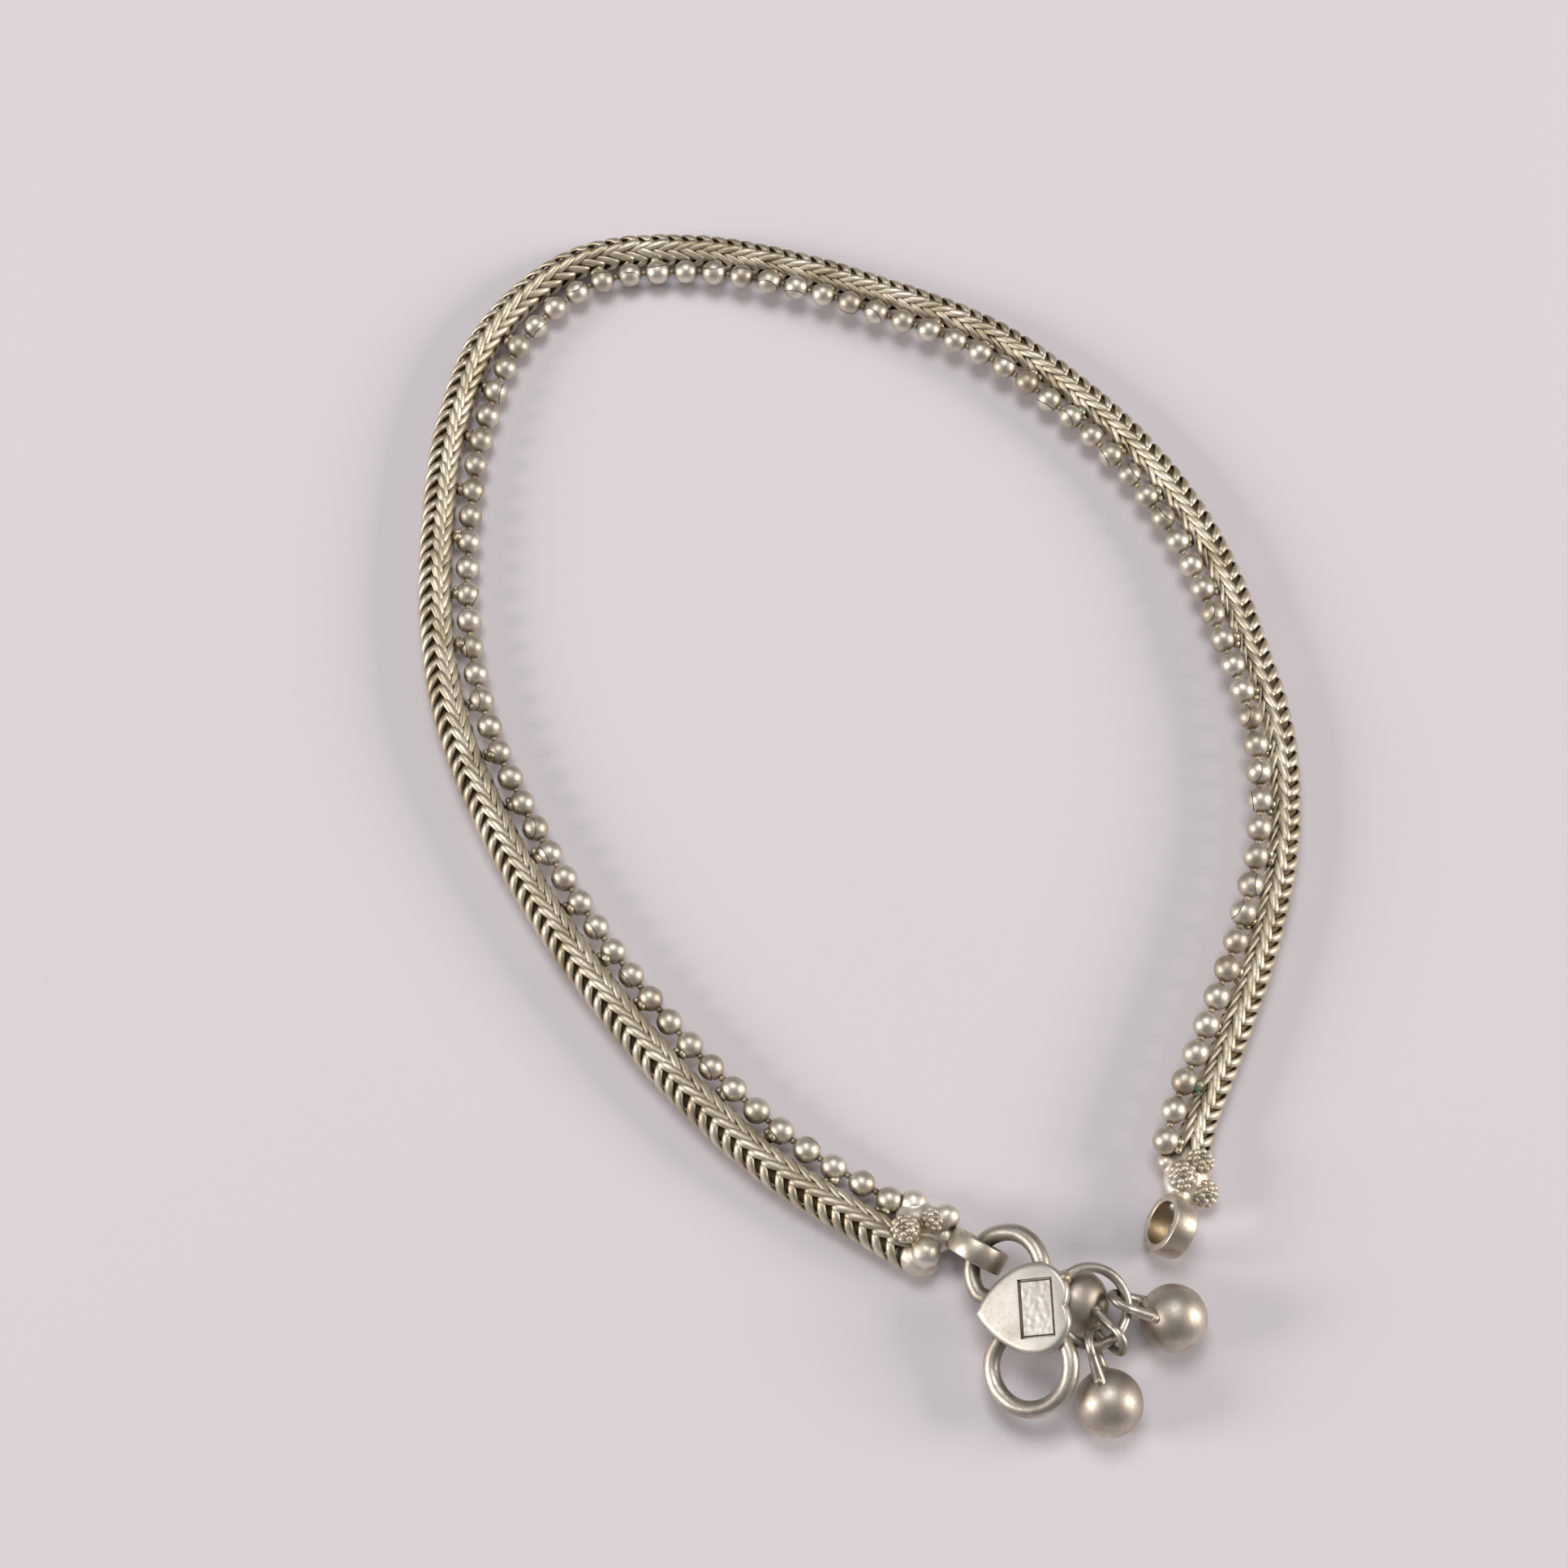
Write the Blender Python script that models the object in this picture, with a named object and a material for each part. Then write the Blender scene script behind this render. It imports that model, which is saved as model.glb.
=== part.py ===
"""Anklet of aged silver, lying open on a table.

A foxtail chain runs along the outside of the loop and a row of hollow beads
along its inside. A cast cap with granulated balls and a band eye closes each
end. An S hook with a heart plate hangs in one eye and carries three slit bells.
The origin is on the table, under the middle of the anklet's box.
"""
import math

import bmesh
import bpy
import numpy as np
from mathutils import Matrix, Vector

MM = 0.001

# Chain and bead row
BAND_LENGTH = 235.9 * MM
CHAIN_DIAMETER = 3.2 * MM
BEAD_DIAMETER = 2.3 * MM
BEAD_PITCH = 2.74 * MM
NECK_DIAMETER = 0.7 * MM
TAB_WIDTH_SHARE = 0.6
SOLDER_GAP = 0.15 * MM
CHAIN_PAST_HOOK_SIDE = 6.4 * MM
CHAIN_PAST_FREE_END = -0.6 * MM

# End caps with their eyes
GRAIN_BALL_DIAMETER = 2.5 * MM
CORE_LENGTH = 5.6 * MM
CORE_WIDTH = 3.9 * MM
CORE_HEIGHT = 2.8 * MM
NECK_THICKNESS = 1.7 * MM
EYE_DIAMETER = 5.1 * MM
EYE_WALL = 0.7 * MM
EYE_WIDTH = 1.9 * MM

# S hook, heart plate and bell ring
HOOK_WIRE = 1.45 * MM
UPPER_LOOP_DIAMETER = 6.2 * MM
LOWER_LOOP_DIAMETER = 6.85 * MM
PLATE_LENGTH = 8.2 * MM
PLATE_WIDTH = 7.5 * MM
PLATE_THICKNESS = 0.8 * MM
PLATE_BEVEL = 0.22 * MM
STAMP_LENGTH = 2.75 * MM
STAMP_WIDTH = 4.6 * MM
STAMP_DEPTH = 0.25 * MM
BELL_RING_DIAMETER = 6.3 * MM
BELL_RING_WIRE = 0.85 * MM

# Bells
BELL_DIAMETER = 5.7 * MM
BELL_WALL = 0.4 * MM
BELL_SLIT = 0.5 * MM
BELL_SLIT_DEPTH_SHARE = 0.3
BELL_LOOP_DIAMETER = 3.3 * MM
BELL_LOOP_WIRE = 0.75 * MM

# Middle of the bead row on the table, from the free end to the hook side: x and y in millimetres,
# how far the band rolls there in degrees, which lifts the bead row, how far the row stands off the
# chain, as a share of a bead, and how stout the chain is, as a share of its diameter
BAND_ROUTE = [
    {"x": 26.0, "y": -33.4, "roll": 30, "apart": 0.02, "girth": 0.97},
    {"x": 26.9, "y": -30.5, "roll": 32, "apart": 0.02, "girth": 0.97},
    {"x": 29.6, "y": -24.2, "roll": 33, "apart": 0.02, "girth": 0.97},
    {"x": 33.2, "y": -15.1, "roll": 34, "apart": 0.02, "girth": 0.97},
    {"x": 35.7, "y": -5.6, "roll": 33, "apart": 0.02, "girth": 0.97},
    {"x": 36.0, "y": 4.2, "roll": 28, "apart": 0.03, "girth": 0.96},
    {"x": 33.9, "y": 13.7, "roll": 20, "apart": 0.03, "girth": 0.96},
    {"x": 30.9, "y": 23.0, "roll": 12, "apart": 0.03, "girth": 0.96},
    {"x": 26.1, "y": 31.4, "roll": 10, "apart": 0.03, "girth": 0.96},
    {"x": 19.7, "y": 38.7, "roll": 12, "apart": 0.03, "girth": 0.96},
    {"x": 12.0, "y": 44.8, "roll": 15, "apart": 0.03, "girth": 0.96},
    {"x": 3.2, "y": 48.8, "roll": 16, "apart": 0.03, "girth": 0.96},
    {"x": -5.9, "y": 52.0, "roll": 17, "apart": 0.03, "girth": 0.96},
    {"x": -15.5, "y": 53.7, "roll": 12, "apart": 0.03, "girth": 0.97},
    {"x": -24.9, "y": 52.4, "roll": 4, "apart": 0.07, "girth": 0.97},
    {"x": -31.7, "y": 45.6, "roll": 0, "apart": 0.11, "girth": 0.98},
    {"x": -34.7, "y": 36.2, "roll": 0, "apart": 0.09, "girth": 0.99},
    {"x": -35.5, "y": 26.5, "roll": 0, "apart": 0.05, "girth": 1.01},
    {"x": -35.2, "y": 16.7, "roll": 0, "apart": 0.05, "girth": 1.02},
    {"x": -33.3, "y": 7.0, "roll": 0, "apart": 0.06, "girth": 1.04},
    {"x": -29.5, "y": -2.1, "roll": 0, "apart": 0.07, "girth": 1.05},
    {"x": -24.7, "y": -10.6, "roll": 0, "apart": 0.05, "girth": 1.05},
    {"x": -19.1, "y": -18.7, "roll": 1, "apart": 0.00, "girth": 1.06},
    {"x": -12.8, "y": -26.2, "roll": 2, "apart": 0.00, "girth": 1.06},
    {"x": -5.6, "y": -32.9, "roll": 1, "apart": 0.00, "girth": 1.06},
    {"x": 2.7, "y": -38.2, "roll": 0, "apart": 0.00, "girth": 1.06},
]

# Balls of each cap: along the band from its last bead, outward across it and up from the table, all
# as shares of a ball's diameter, and the ball's own size
HOOK_SIDE_BALLS = [
    {"along": 0.760, "out": -0.320, "up": 0.680, "size": 1.0},
    {"along": 1.040, "out": 0.720, "up": 1.400, "size": 1.0},
    {"along": 1.640, "out": -0.040, "up": 1.120, "size": 0.9},
    {"along": 1.960, "out": -0.400, "up": 1.160, "size": 0.8},
    {"along": 1.960, "out": 1.000, "up": 1.120, "size": 1.05},
]
FREE_END_BALLS = [
    {"along": 0.360, "out": 1.240, "up": 0.920, "size": 1.0},
    {"along": 0.600, "out": 0.200, "up": 0.760, "size": 0.65},
    {"along": 1.040, "out": 0.840, "up": 1.200, "size": 1.0},
    {"along": 1.240, "out": 1.640, "up": 0.640, "size": 1.0},
]

# Where each eye sits from the last bead, as shares of its diameter, how wide its band is, and which
# way its hole faces in the anklet's own axes
HOOK_SIDE_EYE = {"along": 1.667, "out": 0.029, "up": 0.539, "width": 1.0, "axis": (0.48, 0.83, 0.28)}
FREE_END_EYE = {"along": 1.373, "out": 0.422, "up": 0.548, "width": 1.1, "axis": (-0.87, 0.24, 0.43)}

# The hook's plane: its middle from the hook-side eye, and its rise to the right and to the back
HOOK_FROM_EYE = Vector((3.43, -5.23, 1.4)) * MM
HOOK_RISE_RIGHT = math.radians(25.0)
HOOK_RISE_BACK = math.radians(6.0)
UPPER_LOOP_AT = Vector((-1.08, 3.37, 0.0)) * MM
LOWER_LOOP_AT = Vector((0.47, -4.6, 0.0)) * MM
PLATE_AT = Vector((0.4, -0.1, 0.0)) * MM

# Where each loop's arc begins and ends, in degrees
UPPER_ARC = (-25, 215)
LOWER_ARC = (48, -235)

# Half of the plate's outline from the tip to the notch, as shares of its length and half width
PLATE_OUTLINE = [
    {"length": 0.00, "side": 0.00},
    {"length": 0.09, "side": 0.31},
    {"length": 0.26, "side": 0.67},
    {"length": 0.48, "side": 0.94},
    {"length": 0.70, "side": 1.00},
    {"length": 0.86, "side": 0.86},
    {"length": 0.96, "side": 0.60},
    {"length": 1.00, "side": 0.36},
    {"length": 0.985, "side": 0.12},
    {"length": 0.965, "side": 0.00},
]

# The bell ring: its middle from the hook's middle, how far its right side hangs down
# and how far its back side stands up
BELL_RING_FROM_HOOK = Vector((5.58, 0.07, 1.2)) * MM
BELL_RING_DROOP = math.radians(14.1)
BELL_RING_RISE_BACK = math.radians(8.6)

# Where on the bell ring its solder to the plate sits, in degrees
SOLDER_ANGLE = 140

# Each bell: its middle from the ring's as shares of its diameter, which way its loop points and how
# steeply, and how far the loop is turned about that line, in degrees
BELLS = [
    {"name": "bell_under_plate", "x": -0.177, "y": 0.149, "towards": -50.1, "rise": 22.5, "twist": 72.1},
    {"name": "bell_far", "x": 1.235, "y": -0.079, "towards": 167.9, "rise": 25.7, "twist": 52.7},
    {"name": "bell_near", "x": 0.244, "y": -1.298, "towards": 108.7, "rise": 26.5, "twist": 69.0},
]

# Walking from the free end to the hook side, the chain keeps to the right
OUTER_SIDE_IS_RIGHT = True

# Fineness of the meshes
CHAIN_POINTS = 80
BEAD_SIDES = 10
BEAD_RING_ANGLES = (-62.0, -20.0, 20.0, 62.0)
BALL_SIDES = 12
WIRE_RESOLUTION = 2
EYE_SIDES = 20

SILVER = {"color": (0.42, 0.37, 0.29), "metallic": 1.0, "roughness": 0.38}
DARK_SILVER = {"color": (0.30, 0.26, 0.20), "metallic": 1.0, "roughness": 0.42}
BRIGHT_SILVER = {"color": (0.50, 0.48, 0.44), "metallic": 1.0, "roughness": 0.30}

CHAIN_RADIUS = CHAIN_DIAMETER / 2
BEAD_RADIUS = BEAD_DIAMETER / 2


def clear_scene():
    for obj in list(bpy.data.objects):
        bpy.data.objects.remove(obj)


def finish_material(name, look):
    material = bpy.data.materials.new(name)
    material.use_nodes = True
    shader = material.node_tree.nodes["Principled BSDF"]
    shader.inputs["Base Color"].default_value = (*look["color"], 1.0)
    shader.inputs["Metallic"].default_value = look["metallic"]
    shader.inputs["Roughness"].default_value = look["roughness"]
    return material


def add_object(name, mesh, look, parent):
    obj = bpy.data.objects.new(name, mesh)
    bpy.context.scene.collection.objects.link(obj)
    mesh.materials.clear()
    mesh.materials.append(finish_material(name + "_finish", look))
    mesh.shade_smooth()
    mesh.set_sharp_from_angle(angle=math.radians(40))
    obj.parent = parent
    return obj


def helper_object(name, bm):
    bmesh.ops.recalc_face_normals(bm, faces=bm.faces)
    mesh = bpy.data.meshes.new(name)
    bm.to_mesh(mesh)
    bm.free()
    obj = bpy.data.objects.new(name, mesh)
    bpy.context.scene.collection.objects.link(obj)
    return obj


def evaluated_mesh(obj, name):
    graph = bpy.context.evaluated_depsgraph_get()
    mesh = bpy.data.meshes.new_from_object(obj.evaluated_get(graph))
    mesh.name = name
    return mesh


def fuse(name, solids, cutters=()):
    """One closed mesh: the first solid with the others added and the cutters taken away."""
    base = solids[0]
    for operation, others in (("UNION", solids[1:]), ("DIFFERENCE", cutters)):
        for other in others:
            modifier = base.modifiers.new(operation.lower(), "BOOLEAN")
            modifier.operation = operation
            modifier.solver = "EXACT"
            modifier.object = other
    mesh = evaluated_mesh(base, name)
    for obj in [*solids, *cutters]:
        bpy.data.objects.remove(obj)
    return mesh


def smooth_through(rows, steps):
    """Points on a Catmull-Rom curve through the rows, evenly stepped between them."""
    rows = np.asarray(rows, dtype=float)
    before = 2 * rows[0] - rows[1]
    after = 2 * rows[-1] - rows[-2]
    padded = np.vstack([before, rows, after])
    points = []
    for i in range(len(rows) - 1):
        p0, p1, p2, p3 = padded[i:i + 4]
        for t in np.arange(steps) / steps:
            cubic = 2 * p1 + (p2 - p0) * t
            cubic = cubic + (2 * p0 - 5 * p1 + 4 * p2 - p3) * t**2
            cubic = cubic + (3 * p1 - p0 - 3 * p2 + p3) * t**3
            points.append(cubic / 2)
    points.append(rows[-1])
    return np.array(points)


class Band:
    """The band's course: places on the bead row and on the chain by distance along the row."""

    def __init__(self):
        rows = [[row[key] for key in ("x", "y", "roll", "apart", "girth")] for row in BAND_ROUTE]
        self.course = smooth_through(rows, 24)
        steps = np.linalg.norm(np.diff(self.course[:, :2], axis=0), axis=1)
        scale = BAND_LENGTH / np.sum(steps)
        self.course[:, :2] *= scale
        self.reach = np.concatenate([[0.0], np.cumsum(steps)]) * scale
        self.length = BAND_LENGTH
        self.beads = round(self.length / BEAD_PITCH) + 1
        self.pitch = self.length / (self.beads - 1)

    def read(self, distance, column):
        inside = min(max(distance, 0.0), self.length)
        return float(np.interp(inside, self.reach, self.course[:, column]))

    def flat(self, distance):
        return Vector((self.read(distance, 0), self.read(distance, 1), 0.0))

    def girth(self, distance):
        return self.read(distance, 4)

    def between(self, distance):
        """How far the bead row's middle is from the chain's."""
        clear = BEAD_RADIUS + SOLDER_GAP + self.read(distance, 3) * BEAD_DIAMETER
        return CHAIN_RADIUS * self.girth(distance) + clear

    def heading(self, distance):
        inside = min(max(distance, self.pitch), self.length - self.pitch)
        if distance < self.pitch / 2:
            inside = self.pitch / 2
        if distance > self.length - self.pitch / 2:
            inside = self.length - self.pitch / 2
        return (self.flat(inside + self.pitch / 2) - self.flat(inside - self.pitch / 2)).normalized()

    def place(self, distance):
        """Bead centre, chain centre, heading and the direction from bead to chain."""
        spot = self.flat(distance)
        roll = math.radians(self.read(distance, 2))
        between = self.between(distance)
        heading = self.heading(distance)
        beyond = distance - min(max(distance, 0.0), self.length)
        spot = spot + heading * beyond
        outward = Vector((-heading.y, heading.x, 0.0))
        outward = -outward if OUTER_SIDE_IS_RIGHT else outward
        across = outward * math.cos(roll) - Vector((0, 0, 1)) * math.sin(roll)
        rise = Vector((0, 0, CHAIN_RADIUS * self.girth(distance)))
        chain = spot + outward * between * math.cos(roll) + rise
        bead = chain - across * between
        return bead, chain, heading, across


def wire_curve(name, points, diameter, closed=False, girths=None):
    curve = bpy.data.curves.new(name, "CURVE")
    curve.dimensions = "3D"
    curve.bevel_depth = diameter / 2
    curve.bevel_resolution = WIRE_RESOLUTION
    curve.use_fill_caps = not closed
    spline = curve.splines.new("POLY")
    spline.points.add(len(points) - 1)
    for point, place in zip(spline.points, points):
        point.co = (*place, 1.0)
    if girths:
        spline.points.foreach_set("radius", girths)
    spline.use_cyclic_u = closed
    obj = bpy.data.objects.new(name, curve)
    bpy.context.scene.collection.objects.link(obj)
    return obj


def wire_solid(name, points, diameter, closed=False, girths=None):
    obj = wire_curve(name, points, diameter, closed, girths)
    mesh = evaluated_mesh(obj, name)
    bpy.data.objects.remove(obj)
    bm = bmesh.new()
    bm.from_mesh(mesh)
    bmesh.ops.remove_doubles(bm, verts=bm.verts, dist=0.001 * MM)
    return helper_object(name, bm)


def chain_course(band, longer=0.0):
    """The chain's points, and how stout it is at each."""
    start = -CHAIN_PAST_FREE_END - longer
    end = band.length + CHAIN_PAST_HOOK_SIDE + longer
    steps = [start + (end - start) * i / (CHAIN_POINTS - 1) for i in range(CHAIN_POINTS)]
    return [band.place(step)[1] for step in steps], [band.girth(step) for step in steps]


def make_chain(band, parent):
    points, girths = chain_course(band)
    obj = wire_curve("foxtail_chain", points, CHAIN_DIAMETER, girths=girths)
    obj.data.materials.append(finish_material("foxtail_chain_finish", SILVER))
    obj.parent = parent
    return obj


def make_bead_string(band, parent):
    """Every bead and neck as one swept skin, with a solder tab on every second bead."""
    bm = bmesh.new()
    rings = []
    tab_rings = {}
    neck = NECK_DIAMETER / 2
    half = band.pitch / 2

    def ring_at(distance, radius):
        centre, _, heading, across = band.place(distance)
        other = heading.cross(across)
        ring = []
        for k in range(BEAD_SIDES):
            angle = 2 * math.pi * (k + 0.5) / BEAD_SIDES
            ring.append(bm.verts.new(centre + (across * math.cos(angle) + other * math.sin(angle)) * radius))
        rings.append(ring)

    ring_at(-BEAD_RADIUS, neck)
    for i in range(band.beads):
        middle = i * band.pitch
        for number, degrees in enumerate(BEAD_RING_ANGLES):
            angle = math.radians(degrees)
            if i % 2 == 0 and number == 1:
                tab_rings[len(rings)] = middle
            ring_at(middle + BEAD_RADIUS * math.sin(angle), BEAD_RADIUS * math.cos(angle))
        ring_at(middle + (half if i < band.beads - 1 else BEAD_RADIUS), neck)

    side_faces = []
    for first, second in zip(rings, rings[1:]):
        row = []
        for k in range(BEAD_SIDES):
            n = (k + 1) % BEAD_SIDES
            row.append(bm.faces.new((first[k], first[n], second[n], second[k])))
        side_faces.append(row)
    bm.faces.new(rings[0])
    bm.faces.new(rings[-1])
    bmesh.ops.recalc_face_normals(bm, faces=bm.faces)

    flat_radius = BEAD_RADIUS * math.cos(math.pi / BEAD_SIDES) * math.cos(math.radians(BEAD_RING_ANGLES[2]))
    for index, distance in tab_rings.items():
        # Each tab stops the solder gap short of the chain
        chain_side = CHAIN_RADIUS * band.girth(distance) + SOLDER_GAP
        reach = band.between(distance) - chain_side - flat_radius
        side = side_faces[index][BEAD_SIDES - 1]
        face = bmesh.ops.extrude_discrete_faces(bm, faces=[side])["faces"][0]
        middle = face.calc_center_median()
        normal = face.normal.copy()
        for vert in face.verts:
            vert.co = middle + (vert.co - middle) * TAB_WIDTH_SHARE + normal * reach
    mesh = bpy.data.meshes.new("bead_string")
    bm.to_mesh(mesh)
    bm.free()
    return add_object("bead_string", mesh, SILVER, parent)


def ball(name, centre, radii, sides=BALL_SIDES, turn=None):
    bm = bmesh.new()
    bmesh.ops.create_uvsphere(bm, u_segments=sides, v_segments=sides // 2 + 1, radius=1.0)
    size = Matrix.Diagonal((*radii, 1.0))
    turn = turn if turn else Matrix.Identity(4)
    bm.transform(Matrix.Translation(centre) @ turn @ size)
    return helper_object(name, bm)


def band_ring(name, centre, axis, diameter, wall, width):
    """A flat-sided ring, turned from a rectangle."""
    outer = diameter / 2
    bm = bmesh.new()
    corners = [(outer, -width / 2), (outer, width / 2), (outer - wall, width / 2), (outer - wall, -width / 2)]
    verts = [bm.verts.new((radius, 0.0, height)) for radius, height in corners]
    edges = [bm.edges.new((verts[i], verts[(i + 1) % 4])) for i in range(4)]
    bmesh.ops.spin(bm, geom=verts + edges, cent=(0, 0, 0), axis=(0, 0, 1), angle=2 * math.pi,
                   steps=EYE_SIDES, use_duplicate=False)
    bmesh.ops.remove_doubles(bm, verts=bm.verts, dist=0.001 * MM)
    turn = Vector(axis).to_track_quat("Z", "X").to_matrix().to_4x4()
    bm.transform(Matrix.Translation(centre) @ turn)
    return helper_object(name, bm)


def end_frame(band, distance, direction):
    """Origin under the last bead, with the way out of the band and the way to the chain side."""
    bead, chain, heading, across = band.place(distance)
    along = heading * direction
    out = Vector((across.x, across.y, 0.0)).normalized()
    return Vector((bead.x, bead.y, 0.0)), along, out


def end_spot(band, distance, direction, row, size):
    """A place by the last bead, from a row's shares of the size."""
    origin, along, out = end_frame(band, distance, direction)
    return origin + (along * row["along"] + out * row["out"] + Vector((0, 0, row["up"]))) * size


def make_end_cap(name, band, distance, direction, balls, eye, parent):
    _, along, out = end_frame(band, distance, direction)
    eye_centre = end_spot(band, distance, direction, eye, EYE_DIAMETER)
    turn = Matrix((along, out, Vector((0, 0, 1)))).transposed().to_4x4()
    middles = [end_spot(band, distance, direction, row, GRAIN_BALL_DIAMETER) for row in balls]
    core_centre = sum(middles, Vector()) / len(middles)
    core_centre.z = CORE_HEIGHT / 2 + 0.4 * MM
    core = ball("core", core_centre, (CORE_LENGTH / 2, CORE_WIDTH / 2, CORE_HEIGHT / 2), turn=turn)
    solids = [core]
    for number, middle in enumerate(middles):
        radius = GRAIN_BALL_DIAMETER / 2 * balls[number]["size"]
        solids.append(ball("grain", middle, (radius, radius, radius), sides=10))
        stem = wire_solid("stem", [middle, core_centre], NECK_THICKNESS)
        solids.append(stem)
    towards = (core_centre - eye_centre).normalized()
    rim = eye_centre + towards * (EYE_DIAMETER / 2 - EYE_WALL / 2)
    solids.append(wire_solid("neck", [core_centre, rim], NECK_THICKNESS))
    solids.append(band_ring("eye", eye_centre, eye["axis"], EYE_DIAMETER, EYE_WALL, EYE_WIDTH * eye["width"]))
    # Room for the end of the chain and for the last bead
    points, girths = chain_course(band, SOLDER_GAP)
    sleeve = wire_solid("sleeve", points, CHAIN_DIAMETER + 2 * SOLDER_GAP, girths=girths)
    bead, _, _, _ = band.place(distance)
    seat_radius = (BEAD_RADIUS + SOLDER_GAP) / math.cos(math.pi / BALL_SIDES)**2
    seat = ball("seat", bead, (seat_radius, seat_radius, seat_radius))
    mesh = fuse(name, solids, [sleeve, seat])
    return add_object(name, mesh, SILVER, parent)


def hook_middle(band):
    return end_spot(band, band.length, 1, HOOK_SIDE_EYE, EYE_DIAMETER) + HOOK_FROM_EYE


def hook_matrix(middle):
    right = Vector((math.cos(HOOK_RISE_RIGHT), 0.0, math.sin(HOOK_RISE_RIGHT)))
    back = Vector((0.0, math.cos(HOOK_RISE_BACK), math.sin(HOOK_RISE_BACK)))
    normal = right.cross(back).normalized()
    back = normal.cross(right)
    turn = Matrix((right, back, normal)).transposed().to_4x4()
    return Matrix.Translation(middle) @ turn


def arc(centre, radius, start, end, steps):
    angles = [math.radians(start + (end - start) * i / steps) for i in range(steps + 1)]
    return [centre + Vector((math.cos(a), math.sin(a), 0.0)) * radius for a in angles]


def hook_points():
    """The S from its end beside the plate's lobes, round the upper loop, across, and round the lower."""
    upper = arc(UPPER_LOOP_AT, UPPER_LOOP_DIAMETER / 2, *UPPER_ARC, 18)
    lower = arc(LOWER_LOOP_AT, LOWER_LOOP_DIAMETER / 2, *LOWER_ARC, 22)
    across = smooth_through([upper[-2], upper[-1], lower[0], lower[1]], 5)[6:10]
    return [*upper, *[Vector(point) for point in across], *lower]


def plate_outline():
    half_width = PLATE_WIDTH / 2
    rows = [(row["length"] * PLATE_LENGTH, row["side"] * half_width) for row in PLATE_OUTLINE]
    side = smooth_through(rows, 2)
    other = side[1:-1][::-1] * np.array([1.0, -1.0])
    outline = np.vstack([side, other])
    start = PLATE_AT.x - PLATE_LENGTH / 2
    return [Vector((start + x, PLATE_AT.y + y, 0.0)) for x, y in outline]


def heart_plate():
    outline = plate_outline()
    bottom = HOOK_WIRE / 2 * 0.8
    bm = bmesh.new()
    face = bm.faces.new([bm.verts.new(point + Vector((0, 0, bottom))) for point in outline])
    raised = bmesh.ops.extrude_face_region(bm, geom=[face])["geom"]
    top_verts = [item for item in raised if isinstance(item, bmesh.types.BMVert)]
    bmesh.ops.translate(bm, verts=top_verts, vec=(0, 0, PLATE_THICKNESS))
    top_face = [item for item in raised if isinstance(item, bmesh.types.BMFace)][0]
    bmesh.ops.recalc_face_normals(bm, faces=bm.faces)
    bmesh.ops.inset_region(bm, faces=[top_face], thickness=PLATE_BEVEL, depth=0.0, use_even_offset=True)
    rim = [vert for vert in top_verts]
    bmesh.ops.translate(bm, verts=rim, vec=(0, 0, -PLATE_BEVEL * 0.7))
    return helper_object("plate", bm)


def stamp_cutter():
    top = HOOK_WIRE / 2 * 0.8 + PLATE_THICKNESS
    centre = PLATE_AT + Vector((PLATE_LENGTH * 0.165, 0.0, top))
    bm = bmesh.new()
    bmesh.ops.create_cube(bm, size=1.0)
    size = Matrix.Diagonal((STAMP_LENGTH, STAMP_WIDTH, 2 * STAMP_DEPTH, 1.0))
    bm.transform(Matrix.Translation(centre) @ size)
    return helper_object("stamp", bm)


def bell_ring_frame(middle):
    centre = middle + BELL_RING_FROM_HOOK
    right = Vector((math.cos(BELL_RING_DROOP), 0.0, -math.sin(BELL_RING_DROOP)))
    back = Vector((0.0, math.cos(BELL_RING_RISE_BACK), math.sin(BELL_RING_RISE_BACK)))
    return centre, right, right.cross(back).normalized().cross(right)


def bell_ring_point(middle, degrees):
    centre, right, back = bell_ring_frame(middle)
    angle = math.radians(degrees)
    return centre + (right * math.cos(angle) + back * math.sin(angle)) * BELL_RING_DIAMETER / 2


def make_hook(middle, parent):
    """S hook, heart plate and bell ring, soldered into one piece."""
    local = wire_solid("hook_wire", hook_points(), HOOK_WIRE)
    plate = heart_plate()
    stamp = stamp_cutter()
    place = hook_matrix(middle)
    for obj in (local, plate, stamp):
        obj.data.transform(place)
    ring_points = [bell_ring_point(middle, 15 * i) for i in range(24)]
    ring = wire_solid("bell_ring", ring_points, BELL_RING_WIRE, closed=True)
    solder_at = bell_ring_point(middle, SOLDER_ANGLE)
    radius = BELL_RING_WIRE * 0.75
    solder = ball("solder", solder_at + Vector((0, 0, radius * 0.6)), (radius, radius, radius * 1.4), sides=8)
    mesh = fuse("s_hook", [local, plate, ring, solder], [stamp])
    return add_object("s_hook", mesh, BRIGHT_SILVER, parent)


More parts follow.
